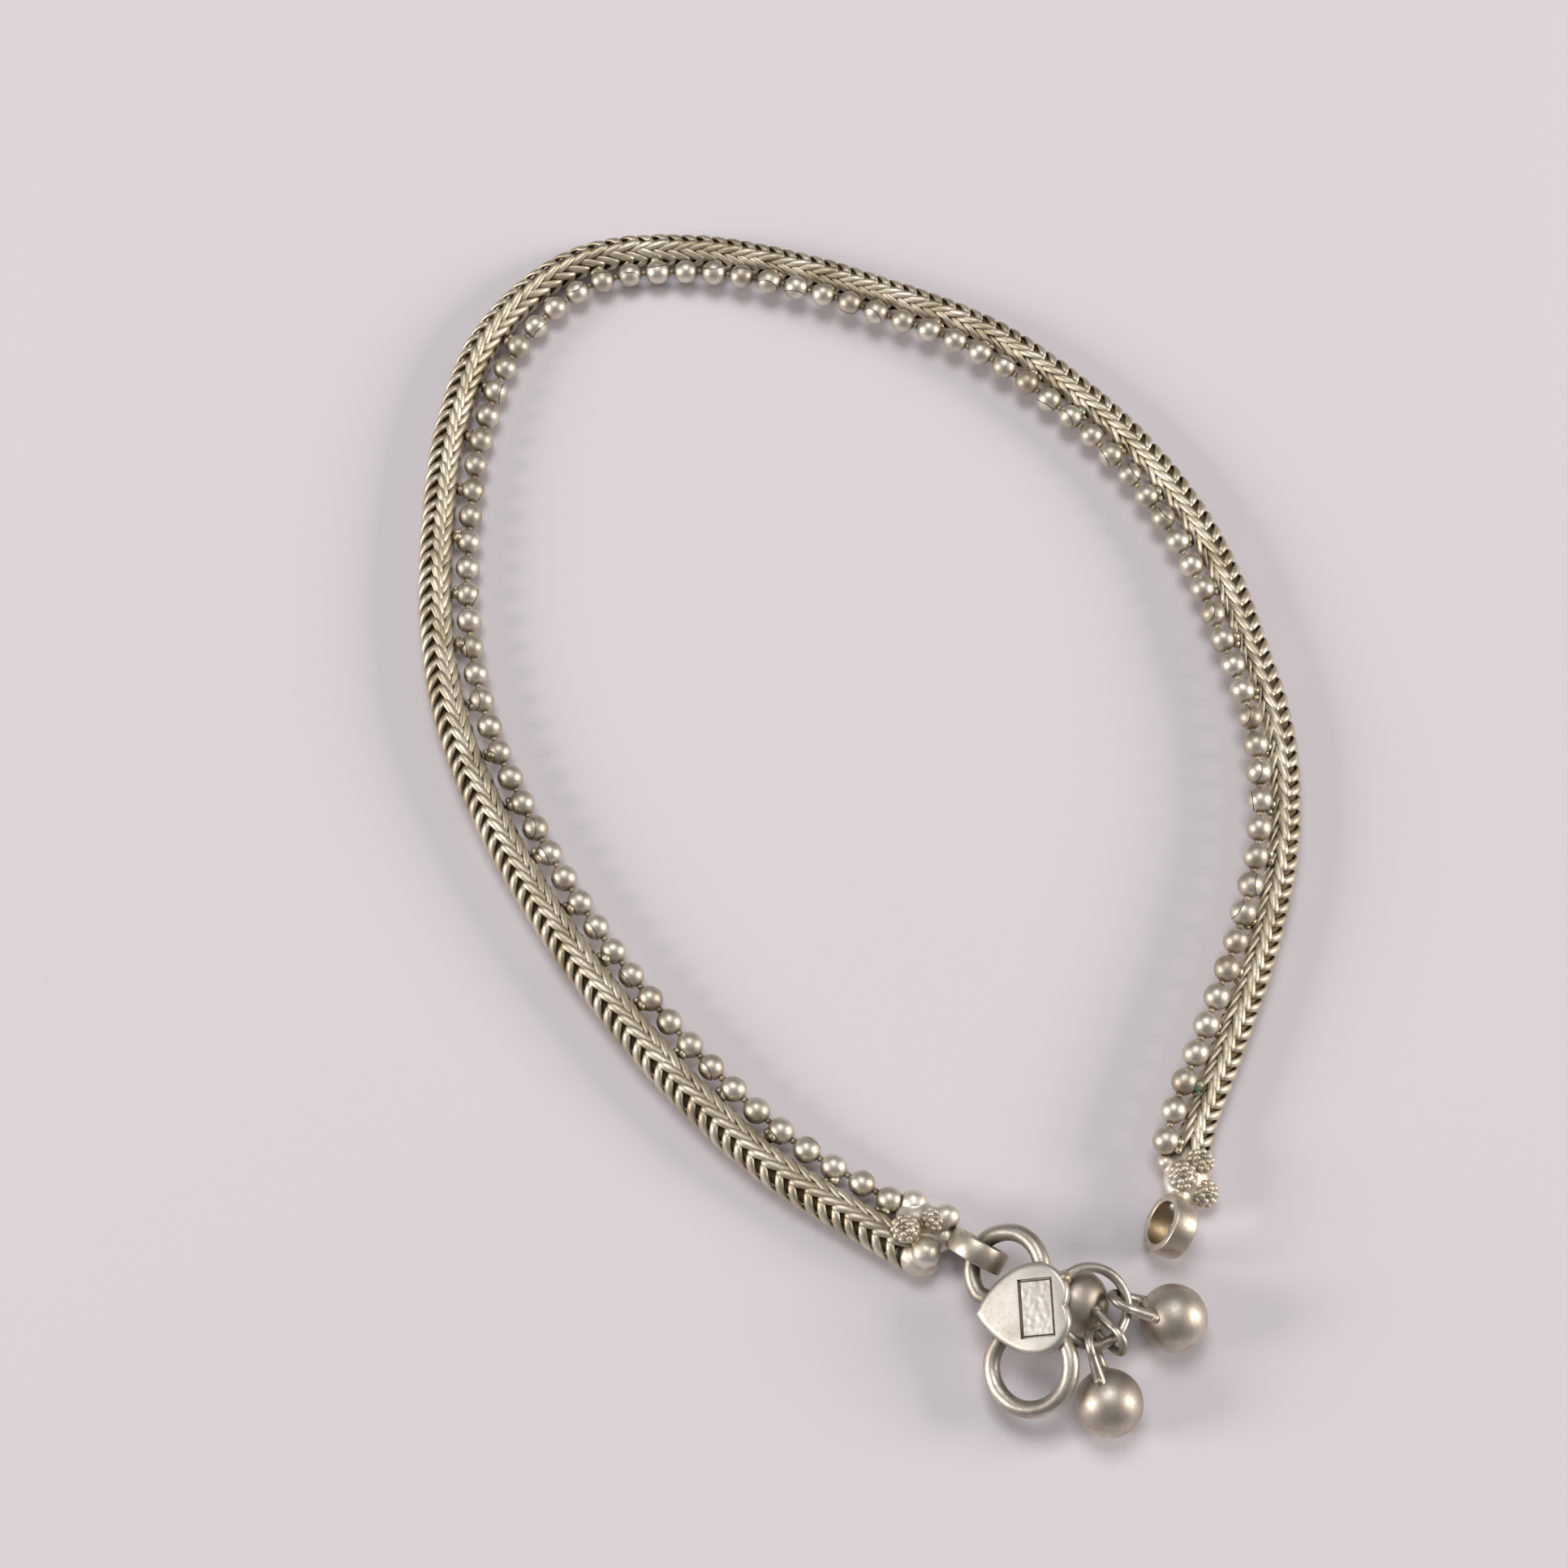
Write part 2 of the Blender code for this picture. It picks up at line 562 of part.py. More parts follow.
def make_bell(row, middle, parent):
    """A hollow ball with a slit opposite its wire loop, lying on the table."""
    radius = BELL_DIAMETER / 2
    stand_off = radius + BELL_LOOP_DIAMETER / 2 - BELL_LOOP_WIRE / 4
    ring_centre, _, _ = bell_ring_frame(middle)
    across, back = [row[key] * BELL_DIAMETER for key in ("x", "y")]
    centre = Vector((ring_centre.x + across, ring_centre.y + back, radius))
    towards, rise, twist = [math.radians(row[key]) for key in ("towards", "rise", "twist")]
    axis = Vector((math.cos(towards) * math.cos(rise), math.sin(towards) * math.cos(rise), math.sin(rise)))
    level = Vector((0, 0, 1)).cross(axis).normalized()
    side = level * math.cos(twist) + axis.cross(level) * math.sin(twist)
    turn = Matrix((side, axis.cross(side), axis)).transposed().to_4x4()
    place = Matrix.Translation(centre) @ turn

    shell = ball("shell", Vector(), (radius, radius, radius), sides=14)
    inner = radius - BELL_WALL
    hollow = ball("hollow", Vector(), (inner, inner, inner), sides=12)
    loop_radius = BELL_LOOP_DIAMETER / 2
    loop_centre = Vector((0, 0, stand_off))
    angles = [2 * math.pi * i / 16 for i in range(16)]
    loop = wire_solid(
        "loop",
        [loop_centre + Vector((math.cos(a), 0.0, math.sin(a))) * loop_radius for a in angles],
        BELL_LOOP_WIRE,
        closed=True,
    )
    bm = bmesh.new()
    bmesh.ops.create_cube(bm, size=1.0)
    depth = radius * (1 - BELL_SLIT_DEPTH_SHARE)
    size = Matrix.Diagonal((BELL_SLIT, 2.2 * radius, depth, 1.0))
    bm.transform(Matrix.Translation((0, 0, -radius * BELL_SLIT_DEPTH_SHARE - depth / 2 - 0.1 * MM)) @ size)
    slit = helper_object("slit", bm)
    mesh = fuse(row["name"], [shell, loop], [hollow, slit])
    mesh.transform(place)
    return add_object(row["name"], mesh, DARK_SILVER, parent)


def main():
    clear_scene()
    anklet = bpy.data.objects.new("anklet", None)
    bpy.context.scene.collection.objects.link(anklet)
    band = Band()
    make_chain(band, anklet)
    make_bead_string(band, anklet)
    make_end_cap("end_cap_hook_side", band, band.length, 1, HOOK_SIDE_BALLS, HOOK_SIDE_EYE, anklet)
    make_end_cap("end_cap_free", band, 0.0, -1, FREE_END_BALLS, FREE_END_EYE, anklet)
    middle = hook_middle(band)
    make_hook(middle, anklet)
    for row in BELLS:
        make_bell(row, middle, anklet)


main()
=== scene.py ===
"""Looks of the aged silver anklet that lies open on a table.

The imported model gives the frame. Each of its solids is replaced by a finely made piece:
woven chain links, hollow beads with their seams, granulated caps, hook, heart plate and bells.
"""

import math

import bmesh
import bpy
import numpy as np
from mathutils import Matrix, Vector, noise


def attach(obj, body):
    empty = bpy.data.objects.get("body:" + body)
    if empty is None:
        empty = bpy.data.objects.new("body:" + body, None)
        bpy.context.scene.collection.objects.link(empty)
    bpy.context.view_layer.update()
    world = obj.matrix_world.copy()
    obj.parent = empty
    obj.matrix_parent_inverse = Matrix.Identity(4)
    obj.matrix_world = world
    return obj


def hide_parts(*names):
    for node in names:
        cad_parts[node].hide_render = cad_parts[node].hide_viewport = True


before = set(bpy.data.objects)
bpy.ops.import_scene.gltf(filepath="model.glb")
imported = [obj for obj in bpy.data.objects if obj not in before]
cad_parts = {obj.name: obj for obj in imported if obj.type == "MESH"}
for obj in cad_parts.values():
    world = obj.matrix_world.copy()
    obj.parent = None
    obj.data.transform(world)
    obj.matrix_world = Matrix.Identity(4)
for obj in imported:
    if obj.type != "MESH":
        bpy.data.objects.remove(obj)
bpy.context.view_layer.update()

MM = 0.001
UP = Vector((0, 0, 1))

# The photo's camera: its pixels, focal length and distance, how steeply it looks down
PHOTO_SIDE_PX = 1932
FOCAL_PX = 3300
PX_PER_MM = 13.6
CAMERA_STEEPNESS = math.radians(67.0)
CAMERA_AIM = Vector((-6.2, 0.5, 0.0)) * MM
SENSOR_WIDTH = 36.0

# How far apart a bent wire's dents are, and how uneven a casting's skin is, in millimetres
WOBBLE_SPACING = 1.3 * MM
CAST_UNEVENNESS = 0.05
CAST_LUMP_SPACING = 0.7 * MM

# Chain and bead row, as in the solids
BAND_LENGTH = 235.9 * MM
CHAIN_DIAMETER = 3.2 * MM
BEAD_DIAMETER = 2.3 * MM
BEAD_PITCH = 2.74 * MM
SOLDER_GAP = 0.15 * MM
CHAIN_PAST_HOOK_SIDE = 6.4 * MM
CHAIN_PAST_FREE_END = -0.6 * MM
CHAIN_RADIUS = CHAIN_DIAMETER / 2
BEAD_RADIUS = BEAD_DIAMETER / 2

# Links of the woven chain. What shows of each wire is a leaf along the top and a tooth down the side,
# which meet at an edge of the square chain. Edges are angles up from straight outward, in degrees.
LINK_PITCH = 1.325 * MM
LINK_LOOSENESS = math.radians(3.0)
UPPER_EDGE = 64.0
INNER_EDGE = 152.0
PETAL_SIDES = 8
CORE_RADIUS = 1.06 * MM

# How far out from the chain's middle the wire is still tarnished, and where it is rubbed bright
TARNISHED_TO = 0.95 * MM
RUBBED_FROM = 1.62 * MM

# Courses of a leaf and a tooth: degrees round from the edge towards the top, then reach from the chain's
# middle, distance ahead, half width and half thickness, in millimetres
LEAF_COURSE = [
    {"round": 2, "reach": 1.26, "ahead": -0.28, "wide": 0.16, "thick": 0.10},
    {"round": 5, "reach": 1.36, "ahead": -0.18, "wide": 0.28, "thick": 0.16},
    {"round": 9, "reach": 1.41, "ahead": 0.00, "wide": 0.35, "thick": 0.20},
    {"round": 14, "reach": 1.44, "ahead": 0.31, "wide": 0.38, "thick": 0.21},
    {"round": 20, "reach": 1.44, "ahead": 0.70, "wide": 0.39, "thick": 0.20},
    {"round": 26, "reach": 1.42, "ahead": 1.10, "wide": 0.39, "thick": 0.18},
    {"round": 32, "reach": 1.38, "ahead": 1.50, "wide": 0.37, "thick": 0.16},
    {"round": 38, "reach": 1.32, "ahead": 1.90, "wide": 0.34, "thick": 0.14},
    {"round": 44, "reach": 1.22, "ahead": 2.30, "wide": 0.29, "thick": 0.12},
    {"round": 50, "reach": 1.05, "ahead": 2.70, "wide": 0.18, "thick": 0.10},
]
TOOTH_COURSE = [
    {"round": 14, "reach": 1.12, "ahead": -0.12, "wide": 0.18, "thick": 0.12},
    {"round": 5, "reach": 1.25, "ahead": -0.03, "wide": 0.29, "thick": 0.18},
    {"round": -4, "reach": 1.33, "ahead": 0.10, "wide": 0.34, "thick": 0.22},
    {"round": -15, "reach": 1.38, "ahead": 0.29, "wide": 0.37, "thick": 0.23},
    {"round": -28, "reach": 1.39, "ahead": 0.52, "wide": 0.40, "thick": 0.23},
    {"round": -42, "reach": 1.38, "ahead": 0.78, "wide": 0.42, "thick": 0.22},
    {"round": -57, "reach": 1.36, "ahead": 1.05, "wide": 0.44, "thick": 0.21},
    {"round": -74, "reach": 1.32, "ahead": 1.34, "wide": 0.44, "thick": 0.20},
    {"round": -92, "reach": 1.27, "ahead": 1.64, "wide": 0.41, "thick": 0.18},
    {"round": -110, "reach": 1.16, "ahead": 1.96, "wide": 0.33, "thick": 0.15},
    {"round": -126, "reach": 1.00, "ahead": 2.30, "wide": 0.20, "thick": 0.10},
]
# How far the links are turned inwards about the chain, in degrees, at each step along it
LINK_TWIST_STEP = 15.0 * MM
LINK_TWIST = [3, 5, 13, 24, 27, 22, 18, 18, 15, 16, 22, 19, 9, 6, 6, 8, 8]

# Middle of the bead row on the table, from the free end to the hook side: x and y in millimetres,
# how far the band rolls there in degrees, how far the row stands off the chain, as a share of a bead,
# and how stout the chain is, as a share of its diameter
BAND_ROUTE = [
    {"x": 26.0, "y": -33.4, "roll": 30, "apart": 0.02, "girth": 0.97},
    {"x": 26.9, "y": -30.5, "roll": 32, "apart": 0.02, "girth": 0.97},
    {"x": 29.6, "y": -24.2, "roll": 33, "apart": 0.02, "girth": 0.97},
    {"x": 33.2, "y": -15.1, "roll": 34, "apart": 0.02, "girth": 0.97},
    {"x": 35.7, "y": -5.6, "roll": 33, "apart": 0.02, "girth": 0.97},
    {"x": 36.0, "y": 4.2, "roll": 28, "apart": 0.03, "girth": 0.96},
    {"x": 33.9, "y": 13.7, "roll": 20, "apart": 0.03, "girth": 0.96},
    {"x": 30.9, "y": 23.0, "roll": 12, "apart": 0.03, "girth": 0.96},
    {"x": 26.1, "y": 31.4, "roll": 10, "apart": 0.03, "girth": 0.96},
    {"x": 19.7, "y": 38.7, "roll": 12, "apart": 0.03, "girth": 0.96},
    {"x": 12.0, "y": 44.8, "roll": 15, "apart": 0.03, "girth": 0.96},
    {"x": 3.2, "y": 48.8, "roll": 16, "apart": 0.03, "girth": 0.96},
    {"x": -5.9, "y": 52.0, "roll": 17, "apart": 0.03, "girth": 0.96},
    {"x": -15.5, "y": 53.7, "roll": 12, "apart": 0.03, "girth": 0.97},
    {"x": -24.9, "y": 52.4, "roll": 4, "apart": 0.07, "girth": 0.97},
    {"x": -31.7, "y": 45.6, "roll": 0, "apart": 0.11, "girth": 0.98},
    {"x": -34.7, "y": 36.2, "roll": 0, "apart": 0.09, "girth": 0.99},
    {"x": -35.5, "y": 26.5, "roll": 0, "apart": 0.05, "girth": 1.01},
    {"x": -35.2, "y": 16.7, "roll": 0, "apart": 0.05, "girth": 1.02},
    {"x": -33.3, "y": 7.0, "roll": 0, "apart": 0.06, "girth": 1.04},
    {"x": -29.5, "y": -2.1, "roll": 0, "apart": 0.07, "girth": 1.05},
    {"x": -24.7, "y": -10.6, "roll": 0, "apart": 0.05, "girth": 1.05},
    {"x": -19.1, "y": -18.7, "roll": 1, "apart": 0.00, "girth": 1.06},
    {"x": -12.8, "y": -26.2, "roll": 2, "apart": 0.00, "girth": 1.06},
    {"x": -5.6, "y": -32.9, "roll": 1, "apart": 0.00, "girth": 1.06},
    {"x": 2.7, "y": -38.2, "roll": 0, "apart": 0.00, "girth": 1.06},
]

# Beads: where the seam between the two halves sits from the middle, its lip, step and slit
SEAM_ANGLE = math.radians(52.0)
SEAM_SLIT_ANGLE = math.radians(3.6)
SEAM_LIP = 0.02
SEAM_DEPTH = 0.09
BEAD_STRETCH = 1.06
BEAD_SIDES = 22
# Rings of points on the bead, in degrees from its pole
RINGS_BEFORE_SEAM = (12, 25, 38)
RINGS_AFTER_SEAM = (70, 84, 98, 112, 126, 140, 153, 167)
# How the beads are turned and tilted on the string, and how much their sizes differ
LEAST_SEAM_TURN = math.radians(-70)
MOST_SEAM_TURN = math.radians(200)
SEAM_TILT = math.radians(14)
BEAD_UNEVENNESS = 0.05

# The neck between two beads: heights along it in millimetres and widths as shares of its radius
NECK_RADIUS = 0.25 * MM
NECK_PROFILE = [
    {"height": -0.36, "width": 0.80},
    {"height": -0.20, "width": 1.00},
    {"height": -0.09, "width": 1.25},
    {"height": 0.00, "width": 1.30},
    {"height": 0.09, "width": 1.25},
    {"height": 0.20, "width": 1.00},
    {"height": 0.36, "width": 0.80},
]

# Solder from a bead to the chain: places towards the chain as shares of the bead's radius, then places
# along and up and half sizes, in millimetres
TAB_LUMPS = [
    {"towards": 1.00, "along": 0.0, "up": 0.0, "long": 0.62, "wide": 0.42, "tall": 0.60},
    {"towards": 0.98, "along": -0.5, "up": 0.12, "long": 0.42, "wide": 0.42, "tall": 0.50},
    {"towards": 1.10, "along": -0.2, "up": -0.5, "long": 0.36, "wide": 0.34, "tall": 0.42},
]

# End caps, as in the solids: balls and eyes from the band's last bead, as shares of their diameter
GRAIN_BALL_DIAMETER = 2.5 * MM
CHAIN_SOCKET_LENGTH = 3.8 * MM
CHAIN_SOCKET_SHARE = 0.97
CORE_LENGTH = 5.6 * MM
CORE_WIDTH = 3.9 * MM
CORE_HEIGHT = 2.8 * MM
CAP_NECK_THICKNESS = 1.7 * MM
EYE_DIAMETER = 5.1 * MM
EYE_WALL = 0.7 * MM
EYE_WIDTH = 1.9 * MM
EYE_EDGE = 0.14 * MM
EYE_CROWN = 0.03 * MM
EYE_STEPS = 56
EYE_UNEVENNESS = 0.012
# Which of the faces round the strip's outline are its inner side, which takes painted shade
EYE_INNER_SIDE = (6, 7, 8)
CORE_ABOVE_TABLE = 0.4 * MM
CAST_VOXEL = 0.11 * MM
# Rings of granules on a ball: how many, and degrees from its top. They are seated below its skin.
GRANULE_DIAMETER = 0.68 * MM
GRANULE_SEAT = 0.87
GRANULE_RINGS = [
    {"count": 6, "angle": 30.0},
    {"count": 10, "angle": 58.0},
]
HOOK_SIDE_BALLS = [
    {"along": 0.760, "out": -0.320, "up": 0.680, "size": 1.0, "granules": False},
    {"along": 1.040, "out": 0.720, "up": 1.400, "size": 1.0, "granules": True},
    {"along": 1.640, "out": -0.040, "up": 1.120, "size": 0.9, "granules": True},
    {"along": 1.960, "out": -0.400, "up": 1.160, "size": 0.92, "granules": False},
    {"along": 1.960, "out": 1.000, "up": 1.120, "size": 1.05, "granules": False},
]
FREE_END_BALLS = [
    {"along": 0.360, "out": 1.240, "up": 0.920, "size": 1.0, "granules": True},
    {"along": 0.600, "out": 0.200, "up": 0.760, "size": 0.65, "granules": False},
    {"along": 1.040, "out": 0.840, "up": 1.200, "size": 1.0, "granules": True},
    {"along": 1.240, "out": 1.640, "up": 0.640, "size": 1.0, "granules": True},
]
HOOK_SIDE_EYE = {"along": 1.667, "out": 0.029, "up": 0.539, "width": 1.0, "axis": (0.48, 0.83, 0.28)}
FREE_END_EYE = {"along": 1.373, "out": 0.422, "up": 0.548, "width": 1.1, "axis": (-0.87, 0.24, 0.43)}

# S hook, heart plate and bell ring, as in the solids
HOOK_WIRE = 1.45 * MM
UPPER_LOOP_DIAMETER = 6.2 * MM
LOWER_LOOP_DIAMETER = 6.85 * MM
HOOK_FROM_EYE = Vector((3.43, -5.23, 1.4)) * MM
HOOK_RISE_RIGHT = math.radians(25.0)
HOOK_RISE_BACK = math.radians(6.0)
UPPER_LOOP_AT = Vector((-1.08, 3.37, 0.0)) * MM
LOWER_LOOP_AT = Vector((0.47, -4.6, 0.0)) * MM
UPPER_ARC = (-25, 215)
LOWER_ARC = (48, -235)
PLATE_AT = Vector((0.4, -0.1, 0.0)) * MM
PLATE_LENGTH = 8.2 * MM
PLATE_WIDTH = 7.5 * MM
PLATE_THICKNESS = 0.8 * MM
PLATE_SEAT = HOOK_WIRE / 2 * 0.8
STAMP_FROM_MIDDLE = PLATE_LENGTH * 0.165
STAMP_LENGTH = 3.0 * MM
STAMP_WIDTH = 4.8 * MM
STAMP_DEPTH = 0.13 * MM
STAMP_GROOVE = 0.22 * MM
STAMP_GROOVE_DEPTH = 0.26 * MM
PIT_DEPTH = 0.022 * MM
PIT_SPACING = 0.45 * MM
FINE_PIT_SPACING = 0.2 * MM
BELL_RING_DIAMETER = 6.3 * MM
BELL_RING_WIRE = 0.85 * MM
BELL_RING_FROM_HOOK = Vector((5.58, 0.07, 1.2)) * MM
BELL_RING_DROOP = math.radians(14.1)
BELL_RING_RISE_BACK = math.radians(8.6)
RING_SOLDER_RADIUS = BELL_RING_WIRE * 0.75
RING_SOLDER_ANGLE = 140

# Half of the plate's outline from the tip to the notch, as shares of its length and half width
PLATE_OUTLINE = [
    {"length": 0.00, "side": 0.00},
    {"length": 0.09, "side": 0.31},
    {"length": 0.26, "side": 0.67},
    {"length": 0.48, "side": 0.94},
    {"length": 0.70, "side": 1.00},
    {"length": 0.86, "side": 0.86},
    {"length": 0.96, "side": 0.60},
    {"length": 1.00, "side": 0.36},
    {"length": 0.985, "side": 0.12},
    {"length": 0.965, "side": 0.00},
]

# The plate's rounded rim: shares of its outline's size and of its thickness, from the bottom edge up
PLATE_RIM = [
    {"size": 0.970, "height": 0.00},
    {"size": 1.000, "height": 0.12},
    {"size": 1.000, "height": 0.50},
    {"size": 0.985, "height": 0.72},
    {"size": 0.955, "height": 0.88},
    {"size": 0.915, "height": 0.97},
    {"size": 0.860, "height": 1.00},
]

# Bells: places from the ring's middle as shares of their diameter, and how each loop points, in degrees
BELL_DIAMETER = 5.7 * MM
BELL_WALL = 0.4 * MM
BELL_SLIT = 0.42 * MM
BELL_SLIT_DEPTH_SHARE = 0.3
BELL_SKIN = 0.983
BELL_LOOP_WIRE = 0.75 * MM
# The wire loop: its round top over the ball's middle, and where its feet stand, out and up from there
LOOP_TOP_RADIUS = 1.15 * MM
LOOP_TOP_HEIGHT = 4.8 * MM
LOOP_FOOT = Vector((1.25, 1.85)) * MM
LOOP_FOOT_STOUTNESS = 1.5
LOOP_LEG_STEPS = 6
BELLS = [
    {"name": "bell_under_plate", "x": -0.177, "y": 0.149, "towards": -50.1, "rise": 22.5, "twist": 72.1},
    {"name": "bell_far", "x": 1.235, "y": -0.079, "towards": 167.9, "rise": 25.7, "twist": 52.7},
    {"name": "bell_near", "x": 0.244, "y": -1.298, "towards": 108.7, "rise": 26.5, "twist": 69.0},
]

# Solder at the feet of a bell's loop: places from the top of the ball and half sizes, in millimetres
FOOT_SUNK = 0.05 * MM
FOOT_HALF_WIDTH = 0.55 * MM
FOOT_VOXEL = 0.09 * MM
FOOT_LUMPS = [
    {"side": 1.2, "up": -0.32, "size": 0.66},
    {"side": 0.7, "up": -0.20, "size": 0.50},
    {"side": -1.2, "up": -0.32, "size": 0.62},
    {"side": -0.7, "up": -0.20, "size": 0.48},
    {"side": 0.0, "up": -0.10, "size": 0.40},
]

# Soft boxes: places and sizes in millimetres
LIGHTS = [
    {"name": "left_window", "place": (-850, -150, 360), "size": 340, "power": 4.7, "tint": "#FFF8F2"},
    {"name": "right_window", "place": (830, -20, 350), "size": 320, "power": 4.6, "tint": "#FFF6EE"},
    {"name": "overhead", "place": (-60, 260, 890), "size": 420, "power": 3.0, "tint": "#FFFFFF"},
]
ROOM_TINT = "#E6E4E8"
ROOM_STRENGTH = 0.24

# Silver in its finishes. Recesses are read up to the grime reach, and dents are that deep, in millimetres.
SILVERS = [
    # Woven wire, rubbed on its crowns: warm bright ridges over brown valleys
    {"name": "worn_silver_wire", "bright": "#EBE1CE", "dull": "#B6A98E", "tarnish": "#5E4C30",
     "roughness": 0.45, "grime_reach": 0.4, "dents": 0.07, "worn_attribute": "worn"},
    # Thin pressed sheet: soft even gloss, browner round the necks and seams
    {"name": "satin_silver_sheet", "bright": "#EAE3D6", "dull": "#B9AE9B", "tarnish": "#665234",
     "roughness": 0.43, "grime_reach": 0.9, "dents": 0.06},
    # Wire in the gaps where nothing rubs: dull brown-grey
    {"name": "tarnished_neck", "bright": "#CFC2AA", "dull": "#8F8068", "tarnish": "#4A3A24",
     "roughness": 0.45, "grime_reach": 0.6, "dents": 0.02},
    # Casting with granules: the palest silver, slightly pitted
    {"name": "cast_silver", "bright": "#F3EDE1", "dull": "#CFC3AE", "tarnish": "#7A6848",
     "roughness": 0.46, "grime_reach": 0.5, "dents": 0.07},
    # Bent strip, rubbed by the hook: brighter and smoother
    {"name": "rubbed_silver_strip", "bright": "#E2DACB", "dull": "#B3A795", "tarnish": "#5A482E",
     "roughness": 0.40, "grime_reach": 2.2, "dents": 0.05},
    # The strip's inner side: a darker copy of the strip's silver, painted shade inside the ring, dark warm
    # brown
    {"name": "tarnished_strip_inside", "bright": "#A8977C", "dull": "#77654A", "tarnish": "#46361F",
     "roughness": 0.48, "grime_reach": 2.2, "dents": 0.05},
    # Drawn wire: greyer and glossier, with brown where it crosses
    {"name": "drawn_silver_wire", "bright": "#D9D2C6", "dull": "#A0968A", "tarnish": "#57472F",
     "roughness": 0.40, "grime_reach": 1.0, "dents": 0.05},
    # Flat plate, rubbed all over: cool pale grey
    {"name": "rubbed_silver_plate", "bright": "#DEDAD3", "dull": "#BFBAB0", "tarnish": "#6B5B42",
     "roughness": 0.42, "grime_reach": 0.5, "dents": 0.02},
    # Thin pressed bell: grey satin with a broad soft light
    {"name": "satin_silver_bell", "bright": "#D6CDC0", "dull": "#A69B8C", "tarnish": "#57482F",
     "roughness": 0.45, "grime_reach": 1.1, "dents": 0.03},
]


def colour(hex_code):
    """Linear colour with full alpha from an sRGB hex code."""
    parts = [int(hex_code[i:i + 2], 16) / 255 for i in (1, 3, 5)]
    return (*[part / 12.92 if part <= 0.04045 else ((part + 0.055) / 1.055)**2.4 for part in parts], 1.0)


def add(tree, kind, inputs=None, **settings):
    """One node with its settings. An input that is given a node or a socket is fed by it."""
    node = tree.nodes.new(kind)
    for name, value in settings.items():
        setattr(node, name, value)
    for name, value in (inputs or {}).items():
        if isinstance(value, bpy.types.Node):
            value = value.outputs[0]
        if isinstance(value, bpy.types.NodeSocket):
            tree.links.new(value, node.inputs[name])
        else:
            node.inputs[name].default_value = value
    return node


# Camera, light and table


def make_camera():
    camera = bpy.data.objects.new("camera", bpy.data.cameras.new("camera"))
    bpy.context.scene.collection.objects.link(camera)
    camera.data.sensor_width = SENSOR_WIDTH
    camera.data.lens = SENSOR_WIDTH * FOCAL_PX / PHOTO_SIDE_PX
    camera.data.clip_start = 0.005
    camera.data.clip_end = 10.0
    ahead = Vector((0.0, math.cos(CAMERA_STEEPNESS), -math.sin(CAMERA_STEEPNESS)))
    camera.location = CAMERA_AIM - ahead * FOCAL_PX / PX_PER_MM * MM
    camera.rotation_euler = (math.pi / 2 - CAMERA_STEEPNESS, 0.0, 0.0)
    bpy.context.scene.camera = camera


def soft_light(name, place, size, power, tint):
    """A square soft box at a place in millimetres, facing the anklet."""
    light = bpy.data.lights.new(name, "AREA")
    light.shape = "SQUARE"
    light.size = size * MM
    light.energy = power
    light.color = colour(tint)[:3]
    lamp = bpy.data.objects.new(name, light)
    bpy.context.scene.collection.objects.link(lamp)
    lamp.location = Vector(place) * MM
    lamp.rotation_euler = (-lamp.location).to_track_quat("-Z", "Y").to_euler()


def make_light():
    for row in LIGHTS:
        soft_light(**row)
    world = bpy.data.worlds.new("room")
    bpy.context.scene.world = world
    world.use_nodes = True
    room = world.node_tree.nodes["Background"]
    room.inputs["Color"].default_value = colour(ROOM_TINT)
    room.inputs["Strength"].default_value = ROOM_STRENGTH
    bpy.context.scene.view_settings.view_transform = "Standard"


def make_table():
    bm = bmesh.new()
    bmesh.ops.create_grid(bm, x_segments=1, y_segments=1, size=0.9)
    mesh = bpy.data.meshes.new("table_top")
    bm.to_mesh(mesh)
    bm.free()
    table = bpy.data.objects.new("table_top", mesh)
    bpy.context.scene.collection.objects.link(table)
    # Pale matt board: an even, slightly cool white
    board = bpy.data.materials.new("pale_board")
    board.use_nodes = True
    shader = board.node_tree.nodes["Principled BSDF"]
    shader.inputs["Base Color"].default_value = colour("#E4DFE4")
    shader.inputs["Roughness"].default_value = 0.9
    shader.inputs["Specular IOR Level"].default_value = 0.2
    mesh.materials.append(board)


# Finishes


def new_finish(name):
    """A material's nodes, its shader and the piece's own coordinates."""
    material = bpy.data.materials.new(name)
    material.use_nodes = True
    tree = material.node_tree
    place = add(tree, "ShaderNodeTexCoord").outputs["Object"]
    return material, tree, tree.nodes["Principled BSDF"], place


